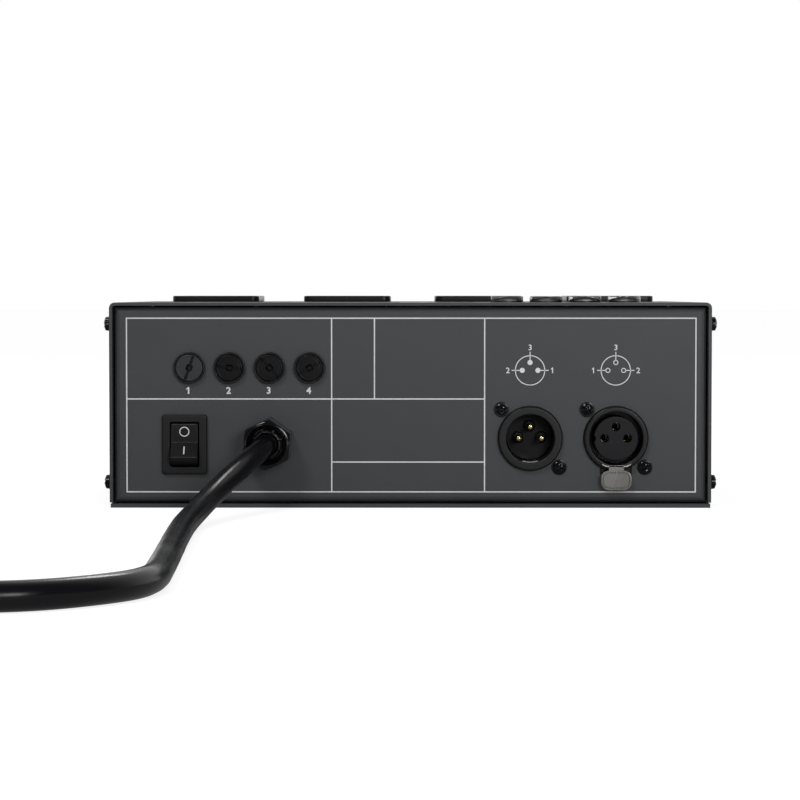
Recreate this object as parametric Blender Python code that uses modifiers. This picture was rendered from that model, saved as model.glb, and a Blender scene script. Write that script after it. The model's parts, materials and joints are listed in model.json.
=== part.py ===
"""A four-channel dimmer pack: a low steel box with four mains outlets and four buttons on its top, and fuses,
a rocker switch, a cable gland and two data sockets on its rear panel. Units are metres. The rear panel faces -Y,
+Z is up, and the origin is the middle of the base plate's underside."""

import math

import bmesh
import bpy
from mathutils import Matrix, Vector

# Case
WIDTH = 0.2330  # outside of the cover
DEPTH = 0.1630  # cover, rear edge to front edge
HEIGHT = 0.0795  # underside of the base plate to the cover's top
COVER_WALL = 0.0012
COVER_BEND = 0.0022  # outer radius of the cover's two bends
BASE_WALL = 0.0015
BASE_INSET = 0.00035  # the base plate is this much narrower than the cover on each side
COVER_LIFT = 0.0005  # gap between the cover's lower edges and the base plate
PANEL_WALL = 0.0012
PANEL_BEND = 0.0022  # outer radius of the panels' bent edges
PANEL_RECESS = 0.0025  # how far the panels stand back under the cover's edges
FLANGE = 0.0120  # depth of the panels' bent edges
SEAT = 0.0004  # gap between a panel's bent edges and the sheets that they are screwed to
GAP = 0.0003  # gap between pieces that touch

# Side vents
VENTS = 8  # slots on each side
VENT_WIDTH = 0.0025
VENT_HEIGHT = 0.0220
VENT_PITCH = 0.0090
VENT_Z = 0.0420

# Case screws, at both ends of both sides
SCREW_Z = (0.0095, HEIGHT - 0.0083)
SCREW_INSET = 0.0085  # from the cover's edge
SCREW_HEAD = 0.0067  # diameter of the flange under the head
SCREW_PROUD = 0.0017
SCREW_SHANK = 0.0028
SCREW_LENGTH = 0.0050
BASE_SCREW_X = 0.0850
BASE_SCREW_HEAD = 0.0058

# Rear panel, across (X) and up (Z)
FUSE_COUNT = 4
FUSE_X = -WIDTH / 2 + 0.0309  # the first fuse
FUSE_PITCH = 0.01553
FUSE_Z = 0.0542
FUSE_RIM = 0.0122  # diameter of the holder's rim
FUSE_RIM_WALL = 0.0006
FUSE_PROUD = 0.0020
FUSE_BARREL = 0.0098
FUSE_DEPTH = 0.0300  # of the barrel behind the panel's face
FUSE_NUT = 0.0030  # thickness of the ring nut behind the panel
FUSE_SEAT = FUSE_PROUD * 0.3  # height of the ledge that a cap rests on
FUSE_RECESS = FUSE_RIM / 2 - FUSE_RIM_WALL  # radius of the recess that holds a cap
FUSE_GLASS = 0.0052  # diameter of the cartridge
FUSE_LENGTH = 0.0200
FUSE_TILTS = (19.0, 97.0, 138.0, 62.0)  # degrees from upright of each cap's screwdriver slot
SWITCH_X, SWITCH_Z = -WIDTH / 2 + 0.0290, 0.0245
SWITCH_FRAME = (0.0175, 0.0231)
SWITCH_MOUTH = (0.0113, 0.0174)
SWITCH_PROUD = 0.0020
SWITCH_DEPTH = 0.0170
ROCKER_PIVOT = 0.0025  # depth of the rocker's axis behind the frame's face
ROCKER_RADIUS = 0.00847
ROCKER_THROW = 36.0
ROCKER_SPREAD = 53.4  # half the angle between the rocker's two tips, seen from its axis
ROCKER_VALLEY = 0.0029  # from the axis to the bottom of the rocker's hollow face
GLAND_X, GLAND_Z = -WIDTH / 2 + 0.0616, 0.0252
GLAND_FLATS = 0.0176  # across the flats of the nut
GLAND_THREAD = 0.0152
GLAND_BASE = 0.0045  # thickness of the hexagon against the panel
GLAND_REACH = 0.0185  # from the panel to the nut's front
GLAND_MOUTH = 0.0144
GLAND_TURN = 25.0  # degrees, from a corner that points across to the first corner above it
SOCKET_PITCH = 0.0332
SOCKET_IN_X = WIDTH / 2 - 0.0700
SOCKET_OUT_X = SOCKET_IN_X + SOCKET_PITCH
SOCKET_Z = 0.0268
SOCKET_RING = 0.0248
SOCKET_PROUD = 0.0025
SOCKET_BACK = 0.0200  # depth of the shell behind the panel's face
SOCKET_CUP = 0.0186  # inner diameter of the input's cup
SOCKET_GROOVE = 0.0206  # outer diameter of the output's ring-shaped groove
SOCKET_FACE = 0.0172  # diameter of the output's insert
SOCKET_CUP_DEPTH = 0.0150
SOCKET_FLANGE = (0.0260, 0.0310, 0.0020)
SOCKET_SCREW = 0.0112  # from the socket's middle, across and up
SOCKET_SCREW_HEAD = 0.0059
PIN_CIRCLE = 0.00445
PIN_DIAMETER = 0.0024
PIN_HOLE = 0.0029
LATCH_Z = -0.0106  # the latch plate, from the socket's middle
LATCH_PLATE = (0.0112, 0.0005)
LATCH_REACH = 0.0040  # from the panel to the latch's front
LATCH_INSIDE = 0.0100  # from the panel in to the latch's hinge line
LATCH_NECK = 0.0060
LATCH_TAB = 0.0119
LATCH_TAB_Z = (-0.0199, -0.0122)
LATCH_PLAY = 0.0014  # room under the ring for the latch's plate

# Top
OUTLETS = 4
OUTLET_X = 0.0010  # middle of the row
OUTLET_Y = 0.0080
OUTLET_PITCH = (WIDTH - 0.0162) / OUTLETS  # the row fills the top, less a margin at both ends
OUTLET_PLATE = (0.0357, 0.0440, 0.0020)
OUTLET_CORNER = 0.0030
OUTLET_BODY = (0.0320, 0.0360, 0.0240)
SLOT_LONG, SLOT_WIDE, SLOT_DEEP = 0.0070, 0.0020, 0.0180
SLOT_ACROSS, SLOT_UP, SLOT_EARTH = 0.00685, 0.00395, 0.0103
BUTTONS = ("down", "up", "menu", "enter")
BUTTON_X = WIDTH / 2 - 0.0782  # the first button
BUTTON_PITCH = 0.0155
BUTTON_Y = -DEPTH / 2 + 0.0275
BUTTON_DIAMETER = 0.0129
BUTTON_PROUD = 0.0020
BUTTON_FLANGE = 0.0008
BUTTON_STEM = 0.0034
BUTTON_TRAVEL = 0.0005
DISPLAY_X = BUTTON_X - 0.0283
DISPLAY = (0.0300, 0.0150)

# Boards
BOARD = 0.0016
MAIN_BOARD = (0.1500, 0.0900)
MAIN_BOARD_X, MAIN_BOARD_Y, MAIN_BOARD_Z = 0.0150, 0.0200, 0.0080
POST_INSET = 0.0050  # from the main board's edges
CHANNEL_X = 0.0160  # middle of the four dimming channels, from the main board's middle
CHANNEL_PITCH = 0.0240
CHOKE = (0.0105, 0.0050, 0.0090)  # outer and inner radius, and thickness, of a choke standing on its edge
CHOKE_Y = 0.0050
COUPLER = (0.0090, 0.0065, 0.0035)
COUPLER_Y = -0.0120
CAPACITOR = (0.0050, 0.0180)  # radius and height
CAPACITOR_X, CAPACITOR_Y = (-0.0640, -0.0500), -0.0300
TERMINALS = (0.0800, 0.0110, 0.0120)
TERMINALS_X, TERMINALS_Y = 0.0150, -0.0330
SINK = (0.1000, 0.0140, 0.0300)  # across, deep and tall
SINK_FINS = 9
SINK_WALL, SINK_FOOT = 0.0018, 0.0030
SINK_Y = MAIN_BOARD[1] / 2 - 0.0160
TRIAC = (0.0100, 0.0050, 0.0180)
CORE_X, CORE_Y = -0.0560, 0.0050
CORE_LEG, CORE_STACK = 0.0100, 0.0140
CORE_WINDOW = (0.0060, 0.0170)
CONTROL_BOARD = (0.1140, 0.0260)
CONTROL_BOARD_X, CONTROL_BOARD_DROP = BUTTON_X + 0.0017, 0.0100
POST = 0.0060
KEY_SWITCH = (0.0060, 0.0038, 0.0020)  # across, tall, and from the board to the foot of a button's stem
CHIP = (0.0260, 0.0080, 0.0032)
PANE = 0.0016  # thickness of the display's window

# Power cord
CORD = 0.0084  # diameter
CORD_SIDES = 2  # bevel resolution
LAID = CORD / 2 + 0.0001  # height of the cord's middle where it lies on the floor
CORD_ROUTE = [  # across from the gland's axis, out from the panel's face, and up from the floor
    (0.0000, 0.0078, 0.0252), (0.0000, 0.0125, 0.0252), (-0.0003, 0.0184, 0.0249),
    (-0.0013, 0.0242, 0.0241), (-0.0030, 0.0297, 0.0228), (-0.0052, 0.0348, 0.0210),
    (-0.0081, 0.0408, 0.0186), (-0.0112, 0.0470, 0.0160), (-0.0143, 0.0533, 0.0134),
    (-0.0172, 0.0598, 0.0109), (-0.0197, 0.0668, 0.0087), (-0.0217, 0.0745, 0.0068),
    (-0.0230, 0.0828, 0.0054), (-0.0238, 0.0915, 0.0045), (-0.0242, 0.1010, LAID), (-0.0243, 0.1130, LAID),
    (-0.0236, 0.1360, LAID), (-0.0222, 0.1750, LAID), (-0.0206, 0.2150, LAID), (-0.0192, 0.2500, LAID),
    (-0.0187, 0.2700, LAID), (-0.0184, 0.2869, LAID), (-0.0207, 0.3016, LAID), (-0.0275, 0.3148, LAID),
    (-0.0380, 0.3253, LAID), (-0.0512, 0.3321, LAID), (-0.0659, 0.3344, LAID), (-0.0825, 0.3344, LAID),
    (-0.1007, 0.3344, LAID),
]
COIL_ACROSS, COIL_OUT = -0.1351, 0.2755  # the coil's middle, from the gland's axis and the panel's face
COIL_RADIUS = 0.0505  # middle of the turns
COIL_TURNS = 3  # side by side, in two layers
TIE = (0.0120, 0.0010)  # width and thickness
PLUG = (0.0360, 0.0310, 0.0340)  # across, up, and from its face back to the relief
PLUG_RELIEF = (0.0200, 0.0062)  # length, and radius where the cord enters
PLUG_PIN = (0.0063, 0.0016, 0.0171)
TAIL = 0.0140  # straight cord between the coil and the plug

PANEL_Y = -DEPTH / 2 + PANEL_RECESS  # outer face of the rear panel
INSIDE = WIDTH / 2 - COVER_WALL
CEILING = HEIGHT - COVER_WALL
COIL_X, COIL_Y = GLAND_X + COIL_ACROSS, PANEL_Y - COIL_OUT

for old in list(bpy.data.objects):
    bpy.data.objects.remove(old, do_unlink=True)

parts = bpy.data.collections.new("dimmer_pack")
tools = bpy.data.collections.new("cutters")
bpy.context.scene.collection.children.link(parts)
bpy.context.scene.collection.children.link(tools)


def material(name, colour, roughness, metallic=0.0):
    made = bpy.data.materials.new(name)
    made.use_nodes = True
    shader = made.node_tree.nodes["Principled BSDF"]
    shader.inputs["Base Color"].default_value = (*colour, 1.0)
    shader.inputs["Roughness"].default_value = roughness
    shader.inputs["Metallic"].default_value = metallic
    made.diffuse_color = (*colour, 1.0)
    return made


PAINT = material("grey_paint", (0.058, 0.060, 0.062), 0.5)
BLACK = material("black_plastic", (0.012, 0.012, 0.013), 0.35)
MATT = material("matt_black", (0.018, 0.018, 0.019), 0.7)
RUBBER = material("cord_rubber", (0.015, 0.015, 0.016), 0.3)
STEEL = material("zinc_steel", (0.55, 0.55, 0.54), 0.4, 1.0)
NICKEL = material("nickel", (0.66, 0.64, 0.60), 0.25, 1.0)
GLASS = material("glass", (0.75, 0.80, 0.80), 0.1)
GREEN = material("board", (0.02, 0.16, 0.06), 0.5)
ALLOY = material("aluminium", (0.70, 0.70, 0.71), 0.45, 1.0)
SILVER = material("silver_button", (0.30, 0.30, 0.31), 0.3, 0.6)
SMOKE = material("smoked_window", (0.03, 0.005, 0.006), 0.1)
IVORY = material("ivory_plastic", (0.65, 0.62, 0.52), 0.5)


# Ways of making meshes. Each returns a closed mesh round its own origin, along Z.


def evaluated(obj):
    """The mesh of an object with its modifiers, and the object is removed."""
    bpy.context.view_layer.update()
    mesh = bpy.data.meshes.new_from_object(obj.evaluated_get(bpy.context.evaluated_depsgraph_get()))
    bpy.data.objects.remove(obj, do_unlink=True)
    return mesh


def facing_out(mesh):
    """The same mesh with its faces turned round if they all point inwards."""
    bm = bmesh.new()
    bm.from_mesh(mesh)
    if bm.calc_volume(signed=True) < 0:
        bmesh.ops.reverse_faces(bm, faces=bm.faces)
    return finished(bm)


def turned(profile, sides, ring=False):
    """A profile of (radius, height) points, down its outer side, turned about Z. A ring's profile is closed."""
    mesh = bpy.data.meshes.new("profile")
    edges = [(i, i + 1) for i in range(len(profile) - 1)]
    if ring:
        edges.append((len(profile) - 1, 0))
    mesh.from_pydata([(r, 0, z) for r, z in profile], edges, [])
    obj = bpy.data.objects.new("profile", mesh)
    tools.objects.link(obj)
    screw = obj.modifiers.new("turn", "SCREW")
    screw.steps = screw.render_steps = sides
    screw.use_merge_vertices = True
    screw.merge_threshold = 0.00001
    return facing_out(evaluated(obj))


def rod(radius, low, high, sides=12, chamfer=0.0):
    """A solid cylinder from low to high, with its two ends chamfered."""
    if chamfer:
        points = [(0, high), (radius - chamfer, high), (radius, high - chamfer)]
        points += [(radius, low + chamfer), (radius - chamfer, low), (0, low)]
        return turned(points, sides)
    bm = bmesh.new()
    bmesh.ops.create_cone(
        bm, cap_ends=True, segments=sides, radius1=radius, radius2=radius, depth=high - low,
        matrix=Matrix.Translation((0, 0, (low + high) / 2)),
    )
    return finished(bm)


def tube(outer, inner, low, high, sides=16):
    return turned([(inner, high), (outer, high), (outer, low), (inner, low)], sides, ring=True)


def finished(bm):
    mesh = bpy.data.meshes.new("mesh")
    bm.to_mesh(mesh)
    bm.free()
    return mesh


def block(size, corner=0.0, edge=0.0, steps=2):
    """A box round its centre. corner rounds its four upright edges, and edge the rim of its top."""
    bm = bmesh.new()
    bmesh.ops.create_cube(bm, size=1.0, matrix=Matrix.Diagonal((*size, 1.0)))
    if corner:
        along = [e for e in bm.edges if abs((e.verts[0].co - e.verts[1].co).normalized().z) > 0.9]
        bmesh.ops.bevel(bm, geom=along, offset=corner, segments=steps + 1, affect="EDGES", profile=0.5)
    if edge:
        rims = [f for f in bm.faces if f.normal.z > 0.9]
        edges = {e for f in rims for e in f.edges}
        bmesh.ops.bevel(bm, geom=list(edges), offset=edge, segments=steps, affect="EDGES", profile=0.5)
    return finished(bm)


def extruded(points, low, high):
    """A flat outline of (x, y) points, anticlockwise, from low to high along Z."""
    bm = bmesh.new()
    face = bm.faces.new([bm.verts.new((x, y, low)) for x, y in points])
    face.normal_update()
    raised = bmesh.ops.extrude_face_region(bm, geom=[face])
    tops = [v for v in raised["geom"] if isinstance(v, bmesh.types.BMVert)]
    bmesh.ops.translate(bm, verts=tops, vec=(0, 0, high - low))
    bmesh.ops.recalc_face_normals(bm, faces=bm.faces)
    return finished(bm)


def arc(radius, start, end, steps, centre=(0.0, 0.0)):
    """Points of an arc, with its angles in degrees."""
    angles = [math.radians(start + (end - start) * i / steps) for i in range(steps + 1)]
    return [(centre[0] + radius * math.cos(a), centre[1] + radius * math.sin(a)) for a in angles]


def hexagon(flats, low, high, chamfer):
    """A six-sided nut blank with a turned chamfer at its top."""
    across = flats / math.sqrt(3)
    blank = made("blank", extruded(arc(across, 0, 300, 5), low, high), MATT, where=tools)
    dome = turned([(0, high), (flats / 2 - chamfer / 2, high), (across, high - chamfer * 0.9),
                   (across * 1.01, low - chamfer), (0, low - chamfer)], 30)
    boolean(blank, made("dome", dome, MATT, where=tools), "INTERSECT")
    return evaluated(blank)


def joined(pairs):
    """One mesh of several (mesh, matrix) pairs, which stay separate bodies."""
    bm = bmesh.new()
    for mesh, matrix in pairs:
        count = len(bm.verts)
        bm.from_mesh(mesh)
        bm.verts.ensure_lookup_table()
        bmesh.ops.transform(bm, matrix=matrix, verts=bm.verts[count:])
    return finished(bm)


def made(name, mesh, finish, matrix=None, where=parts):
    """An object in the collection, shaded smooth where it is round."""
    mesh.materials.clear()
    mesh.materials.append(finish)
    mesh.shade_smooth()
    mesh.set_sharp_from_angle(angle=math.radians(35))
    obj = bpy.data.objects.new(name, mesh)
    mesh.name = name
    obj.matrix_world = matrix or Matrix()
    where.objects.link(obj)
    if where is tools:
        obj.hide_render = True
        obj.display_type = "WIRE"
    return obj


def boolean(obj, other, operation="DIFFERENCE"):
    step = obj.modifiers.new(operation.lower(), "BOOLEAN")
    step.operation = operation
    step.solver = "EXACT"
    step.object = other
    return obj


def cut(obj, mesh, matrix=None):
    return boolean(obj, made(obj.name + "_cutter", mesh, MATT, matrix, tools))


def fuse(obj, mesh, matrix=None):
    return boolean(obj, made(obj.name + "_added", mesh, MATT, matrix, tools), "UNION")


def at(x, y, z):
    return Matrix.Translation((x, y, z))


def turn(degrees, axis):
    return Matrix.Rotation(math.radians(degrees), 4, axis)


OUT = turn(90, "X")  # local +Z points out of the rear panel, local +Y up


def on_rear(x, z):
    """A place on the rear panel's outer face: local Z leaves the panel, and local Y is up."""
    return at(x, PANEL_Y, z) @ OUT


# The places that holes and pieces share.

fuse_places = [(FUSE_X + FUSE_PITCH * i, FUSE_Z) for i in range(FUSE_COUNT)]
socket_places = {"in": (SOCKET_IN_X, SOCKET_Z), "out": (SOCKET_OUT_X, SOCKET_Z)}
socket_screws = [
    (x + side * SOCKET_SCREW, SOCKET_Z - side * SOCKET_SCREW)
    for x in (SOCKET_IN_X, SOCKET_OUT_X)
    for side in (-1, 1)
]
outlet_places = [
    (OUTLET_X + OUTLET_PITCH * (i - (OUTLETS - 1) / 2), OUTLET_Y, HEIGHT) for i in range(OUTLETS)
]
button_places = [(BUTTON_X + BUTTON_PITCH * i, BUTTON_Y, HEIGHT) for i in range(len(BUTTONS))]
case_screw_places = [
    at(side * WIDTH / 2, end * (DEPTH / 2 - SCREW_INSET), z) @ turn(side * 90, "Y")
    for side in (-1, 1)
    for end in (-1, 1)
    for z in SCREW_Z
]
base_screw_places = [
    at(x, end * (DEPTH / 2 - SCREW_INSET), 0)
    for x in (-BASE_SCREW_X, BASE_SCREW_X)
    for end in (-1, 1)
]
main_posts = [
    (MAIN_BOARD_X + i * (MAIN_BOARD[0] / 2 - POST_INSET), MAIN_BOARD_Y + j * (MAIN_BOARD[1] / 2 - POST_INSET))
    for i in (-1, 1)
    for j in (-1, 1)
]
control_posts = [
    (CONTROL_BOARD_X + i * (CONTROL_BOARD[0] / 2 - POST * 2 / 3), BUTTON_Y + j * (CONTROL_BOARD[1] / 2 - POST * 2 / 3))
    for i in (-1, 1)
    for j in (-1, 1)
]
CONTROL_BOARD_Z = CEILING - CONTROL_BOARD_DROP
MAIN_TOP = MAIN_BOARD_Z + BOARD
channels = [CHANNEL_X + CHANNEL_PITCH * (i - (OUTLETS - 1) / 2) for i in range(OUTLETS)]
HOLE = GAP * 1.35  # a twelve-sided hole needs this much room round its screw


# Case


def top_cover():
    """A sheet bent to an inverted U, with cut-outs for all that the top carries."""
    half, bend, low = WIDTH / 2, COVER_BEND, BASE_WALL + COVER_LIFT
    left = arc(bend, 180, 90, 4, (-half + bend, HEIGHT - bend))
    right = arc(bend, 90, 0, 4, (half - bend, HEIGHT - bend))
    line = [(-half, low), *left, *right, (half, low)]
    bm = bmesh.new()
    rows = [[bm.verts.new((x, y, z)) for x, z in line] for y in (-DEPTH / 2, DEPTH / 2)]
    for i in range(len(line) - 1):
        bm.faces.new((rows[0][i], rows[0][i + 1], rows[1][i + 1], rows[1][i]))
    bmesh.ops.recalc_face_normals(bm, faces=bm.faces)
    if max(bm.faces, key=lambda f: f.calc_center_median().z).normal.z < 0:
        bmesh.ops.reverse_faces(bm, faces=bm.faces)
    cover = made("top_cover", finished(bm), PAINT)
    wall = cover.modifiers.new("wall", "SOLIDIFY")
    wall.thickness = COVER_WALL
    wall.offset = -1
    deep = 4 * COVER_WALL
    holes = [
        (block((OUTLET_BODY[0] + 2 * GAP, OUTLET_BODY[1] + 2 * GAP, deep), 0.002, steps=1), at(*place))
        for place in outlet_places
    ]
    holes += [
        (rod(BUTTON_DIAMETER / 2 + 2 * GAP, -deep / 2, deep / 2, 16), at(*place)) for place in button_places
    ]
    holes.append((block((DISPLAY[0], DISPLAY[1], deep)), at(DISPLAY_X, BUTTON_Y, HEIGHT)))
    holes += [(rod(SCREW_SHANK / 2 + HOLE, -deep / 2, deep / 2), place) for place in case_screw_places]
    slot = block((VENT_WIDTH, VENT_HEIGHT, deep), VENT_WIDTH * 0.3, steps=0)
    for side in (-1, 1):
        for i in range(VENTS):
            y = VENT_PITCH * (i - (VENTS - 1) / 2)
            holes.append((slot, at(side * WIDTH / 2, y, VENT_Z) @ turn(90, "Y") @ turn(90, "Z")))
    cut(cover, joined(holes))


def base_plate():
    """The flat sheet that the panels stand on. Its four countersunk screws are part of it."""
    plate = made("base_plate", block((WIDTH - 2 * BASE_INSET, DEPTH, BASE_WALL)), PAINT, at(0, 0, BASE_WALL / 2))
    head, over = BASE_SCREW_HEAD / 2, 0.001
    depth = BASE_WALL * 0.5
    groove = turned([(head, depth), (head + GAP, depth), (head + 2 * GAP, -over), (head, -over)], 10, ring=True)
    cut(plate, joined([(groove, place) for place in base_screw_places]))
    shank = rod(SCREW_SHANK / 2, BASE_WALL / 2, BASE_WALL + SCREW_LENGTH, 8)
    fuse(plate, joined([(shank, place) for place in base_screw_places]))


def panel(name, face):
    """A pan whose four edges are bent inwards. face is -1 at the rear and 1 at the front."""
    low, high = BASE_WALL + SEAT, CEILING - SEAT
    size = (2 * (INSIDE - SEAT), FLANGE, high - low)
    bm = bmesh.new()
    bmesh.ops.create_cube(bm, size=1.0, matrix=Matrix.Diagonal((*size, 1.0)))
    bmesh.ops.delete(bm, geom=[f for f in bm.faces if f.normal.y * face < -0.9], context="FACES")
    front = [f for f in bm.faces if f.normal.y * face > 0.9][0]
    bmesh.ops.bevel(bm, geom=list(front.edges), offset=PANEL_BEND, segments=3, affect="EDGES", profile=0.5)
    y = face * (DEPTH / 2 - PANEL_RECESS - FLANGE / 2)
    pan = made(name, finished(bm), PAINT, at(0, y, (low + high) / 2))
    wall = pan.modifiers.new("wall", "SOLIDIFY")
    wall.thickness = PANEL_WALL
    wall.offset = -1
    wall.use_even_offset = True
    notch = block((2 * PANEL_BEND, FLANGE, 2 * PANEL_BEND))
    notches = [
        (notch, at(i * size[0] / 2, y - face * PANEL_BEND, (low + high) / 2 + j * size[2] / 2))
        for i in (-1, 1)
        for j in (-1, 1)
    ]
    cut(pan, joined(notches))
    deep = 4 * PANEL_WALL
    screw = rod(SCREW_SHANK / 2 + HOLE, -deep, deep)
    side = [(screw, place @ at(0, 0, -COVER_WALL)) for place in case_screw_places
            if place.translation.y * face > 0]
    under = [(screw, place @ at(0, 0, BASE_WALL)) for place in base_screw_places
             if place.translation.y * face > 0]
    cut(pan, joined(side + under))
    return pan


def rear_panel():
    pan = panel("rear_panel", -1)
    deep = 4 * PANEL_WALL

    def hole(radius, sides):
        return rod(radius + GAP / math.cos(math.pi / sides), -deep / 2, deep / 2, sides)

    holes = [(hole(FUSE_BARREL / 2, 14), on_rear(*place)) for place in fuse_places]
    body = switch_body()
    holes.append((block((body[0] + 2 * GAP, body[1] + 2 * GAP, deep)), on_rear(SWITCH_X, SWITCH_Z)))
    holes.append((hole(GLAND_THREAD / 2, 20), on_rear(GLAND_X, GLAND_Z)))
    holes += [(hole(SOCKET_RING / 2, 28), on_rear(*place)) for place in socket_places.values()]
    holes += [(hole(SCREW_SHANK / 2, 12), on_rear(*place)) for place in socket_screws]
    cut(pan, joined(holes))
    cut(pan, *latch_slot(deep))


def pan_head(radius, proud, length, sides=10):
    """A screw with a flange under a domed head. Its head stands on local Z."""
    flange = proud * 0.25
    return turned([(0, proud), (radius * 0.55, proud * 0.90), (radius * 0.78, flange),
                   (radius, flange * 0.6), (radius, GAP), (SCREW_SHANK / 2, GAP),
                   (SCREW_SHANK / 2, -length), (0, -length)], sides)


def case_screws():
    head = pan_head(SCREW_HEAD / 2, SCREW_PROUD + GAP, SCREW_LENGTH)
    for i, place in enumerate(case_screw_places):
        made(f"case_screw_{i + 1}", head.copy(), MATT, place)


# Fuses


def fuse_holder(number, x, z):
    """A tube through the panel with a rim in front, a ring nut behind the panel and a contact tab at its end."""
    rim, bore, seat, recess = FUSE_RIM / 2, FUSE_GLASS / 2 + 4 * GAP, FUSE_SEAT, FUSE_RECESS
    barrel, nut = FUSE_BARREL / 2, -PANEL_WALL - GAP
    holder = turned(
        [(recess, FUSE_PROUD), (rim, FUSE_PROUD), (rim, GAP), (barrel, GAP),
         (barrel, nut), (rim, nut), (rim, nut - FUSE_NUT), (barrel, nut - FUSE_NUT), (barrel, -FUSE_DEPTH),
         (bore, -FUSE_DEPTH), (bore, seat), (recess, seat)],
        14, ring=True)
    body = made(f"fuse_holder_{number}", holder, BLACK, on_rear(x, z))
    tab = block((0.0012, 0.0030, 0.0080))
    fuse(body, tab, on_rear(x, z) @ at((barrel + bore) / 2, 0, -FUSE_DEPTH - 0.003))


def fuse_set(number, x, z, tilt):
    """A cartridge and the slotted cap that holds its end and turns to free it."""
    seat, recess = FUSE_SEAT, FUSE_RECESS
    skirt_in, skirt_out = FUSE_GLASS / 2 + GAP, FUSE_GLASS / 2 + 0.0008
    disc, face = recess - GAP, FUSE_PROUD + 0.0003
    low = seat + GAP
    cap = made(
        f"fuse_cap_{number}",
        turned([(0, face), (disc - 0.0004, face), (disc, face - 0.0004), (disc, low), (skirt_out, low),
                (skirt_out, -0.006), (skirt_in, -0.006), (skirt_in, low - 0.0002), (0, low - 0.0002)], 14),
        BLACK, on_rear(x, z) @ turn(-tilt, "Z"))
    slot_deep = 0.0008
    cut(cap, block((0.0011, 0.0080, slot_deep * 2)), on_rear(x, z) @ at(0, 0, face) @ turn(-tilt, "Z"))
    nose = low - 0.0002 - GAP
    end = 0.0052
    made(
        f"fuse_{number}",
        turned([(0, nose), (FUSE_GLASS / 2, nose), (FUSE_GLASS / 2, nose - end), (FUSE_GLASS * 0.44, nose - end),
                (FUSE_GLASS * 0.44, nose - FUSE_LENGTH + end), (FUSE_GLASS / 2, nose - FUSE_LENGTH + end),
                (FUSE_GLASS / 2, nose - FUSE_LENGTH), (0, nose - FUSE_LENGTH)], 10),
        GLASS, on_rear(x, z))


# Rocker switch


def switch_body():
    """The width and height of the switch behind the panel."""
    wall = 0.0009
    return SWITCH_MOUTH[0] + 2 * wall, SWITCH_MOUTH[1] + 2 * wall


def power_switch():
    wide, tall = SWITCH_FRAME
    bezel = block((wide, tall, SWITCH_PROUD - GAP), 0.0010, 0.0006, steps=2)
    frame = made("switch_frame", bezel, BLACK, on_rear(SWITCH_X, SWITCH_Z) @ at(0, 0, (SWITCH_PROUD + GAP) / 2))
    body = switch_body()
    deep = SWITCH_DEPTH + GAP * 2
    fuse(frame, block((*body, deep)), on_rear(SWITCH_X, SWITCH_Z) @ at(0, 0, 2 * GAP - deep / 2))
    room = ROCKER_PIVOT + ROCKER_RADIUS * 0.9
    mouth = block((*SWITCH_MOUTH, 2 * room))
    cut(frame, mouth, on_rear(SWITCH_X, SWITCH_Z) @ at(0, 0, SWITCH_PROUD))
    tip = 90 - ROCKER_SPREAD
    sweep = arc(ROCKER_RADIUS, 90 + ROCKER_SPREAD, 190, 6)
    other = arc(ROCKER_RADIUS, -10, tip, 6)
    outline = [(0, ROCKER_VALLEY), *sweep, (-0.004, -0.0042), (0.004, -0.0042), *other]
    tab = block((0.0048, 0.0008, 0.009))
    tabs = [
        (tab, on_rear(SWITCH_X + i * 0.0032, SWITCH_Z + j * 0.0048) @ at(0, 0, -SWITCH_DEPTH - 0.004))
        for i in (-1, 1)
        for j in (-1, 1)
    ]
    fuse(frame, joined(tabs))
    width = SWITCH_MOUTH[0] - 2 * GAP
    lean = ROCKER_THROW / 2
    place = on_rear(SWITCH_X, SWITCH_Z) @ at(0, 0, SWITCH_PROUD - ROCKER_PIVOT)
    made("rocker", extruded(outline, -width / 2, width / 2), BLACK,
         place @ turn(-lean, "X") @ turn(90, "Y") @ turn(90, "Z"))


# Cable gland


def gland():
    """A hexagon against the panel, a domed nut over it, the claws that grip the cord, and a lock nut inside."""
    place = on_rear(GLAND_X, GLAND_Z) @ turn(GLAND_TURN, "Z")
    bore = CORD / 2 + GAP
    thread, base = GLAND_THREAD / 2, GLAND_BASE
    body = made("gland_body", hexagon(GLAND_FLATS, GAP, base, 0.0008), BLACK, place)
    fuse(body, rod(thread, -0.010, base + 0.007, 16), place)
    cut(body, rod(bore + GAP, -0.011, base + 0.008, 16), place)
    front = GLAND_REACH
    nut = made("gland_nut", hexagon(GLAND_FLATS, base + GAP, front, 0.0040), BLACK, place)
    shoulder = front - 0.0035
    hollow = turned([(0, front + 0.001), (GLAND_MOUTH / 2, front + 0.001), (GLAND_MOUTH / 2, shoulder),
                     (thread + GAP, shoulder - 0.001), (thread + GAP, base), (0, base)], 20)
    cut(nut, hollow, place)
    claws = made("gland_claws", tube(GLAND_MOUTH / 2 - GAP, bore, base + 0.0075, front - 0.0012, 20), BLACK, place)
    slit = block((0.0012, GLAND_MOUTH * 1.2, 0.005))
    slits = [(slit, turn(60 * i + 20, "Z") @ at(0, 0, front)) for i in range(3)]
    union = made("claws_slits", slits_joined(slits), MATT, place, tools)
    boolean(claws, union)


def gland_locknut():
    inside = -PANEL_WALL - GAP
    place = on_rear(GLAND_X, GLAND_Z)
    nut = made("gland_locknut", hexagon(GLAND_FLATS * 0.98, inside - 0.004, inside, 0.0006), MATT, place)
    cut(nut, rod(GLAND_THREAD / 2 + 2 * GAP, -0.02, 0.01, 14), place)


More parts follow.
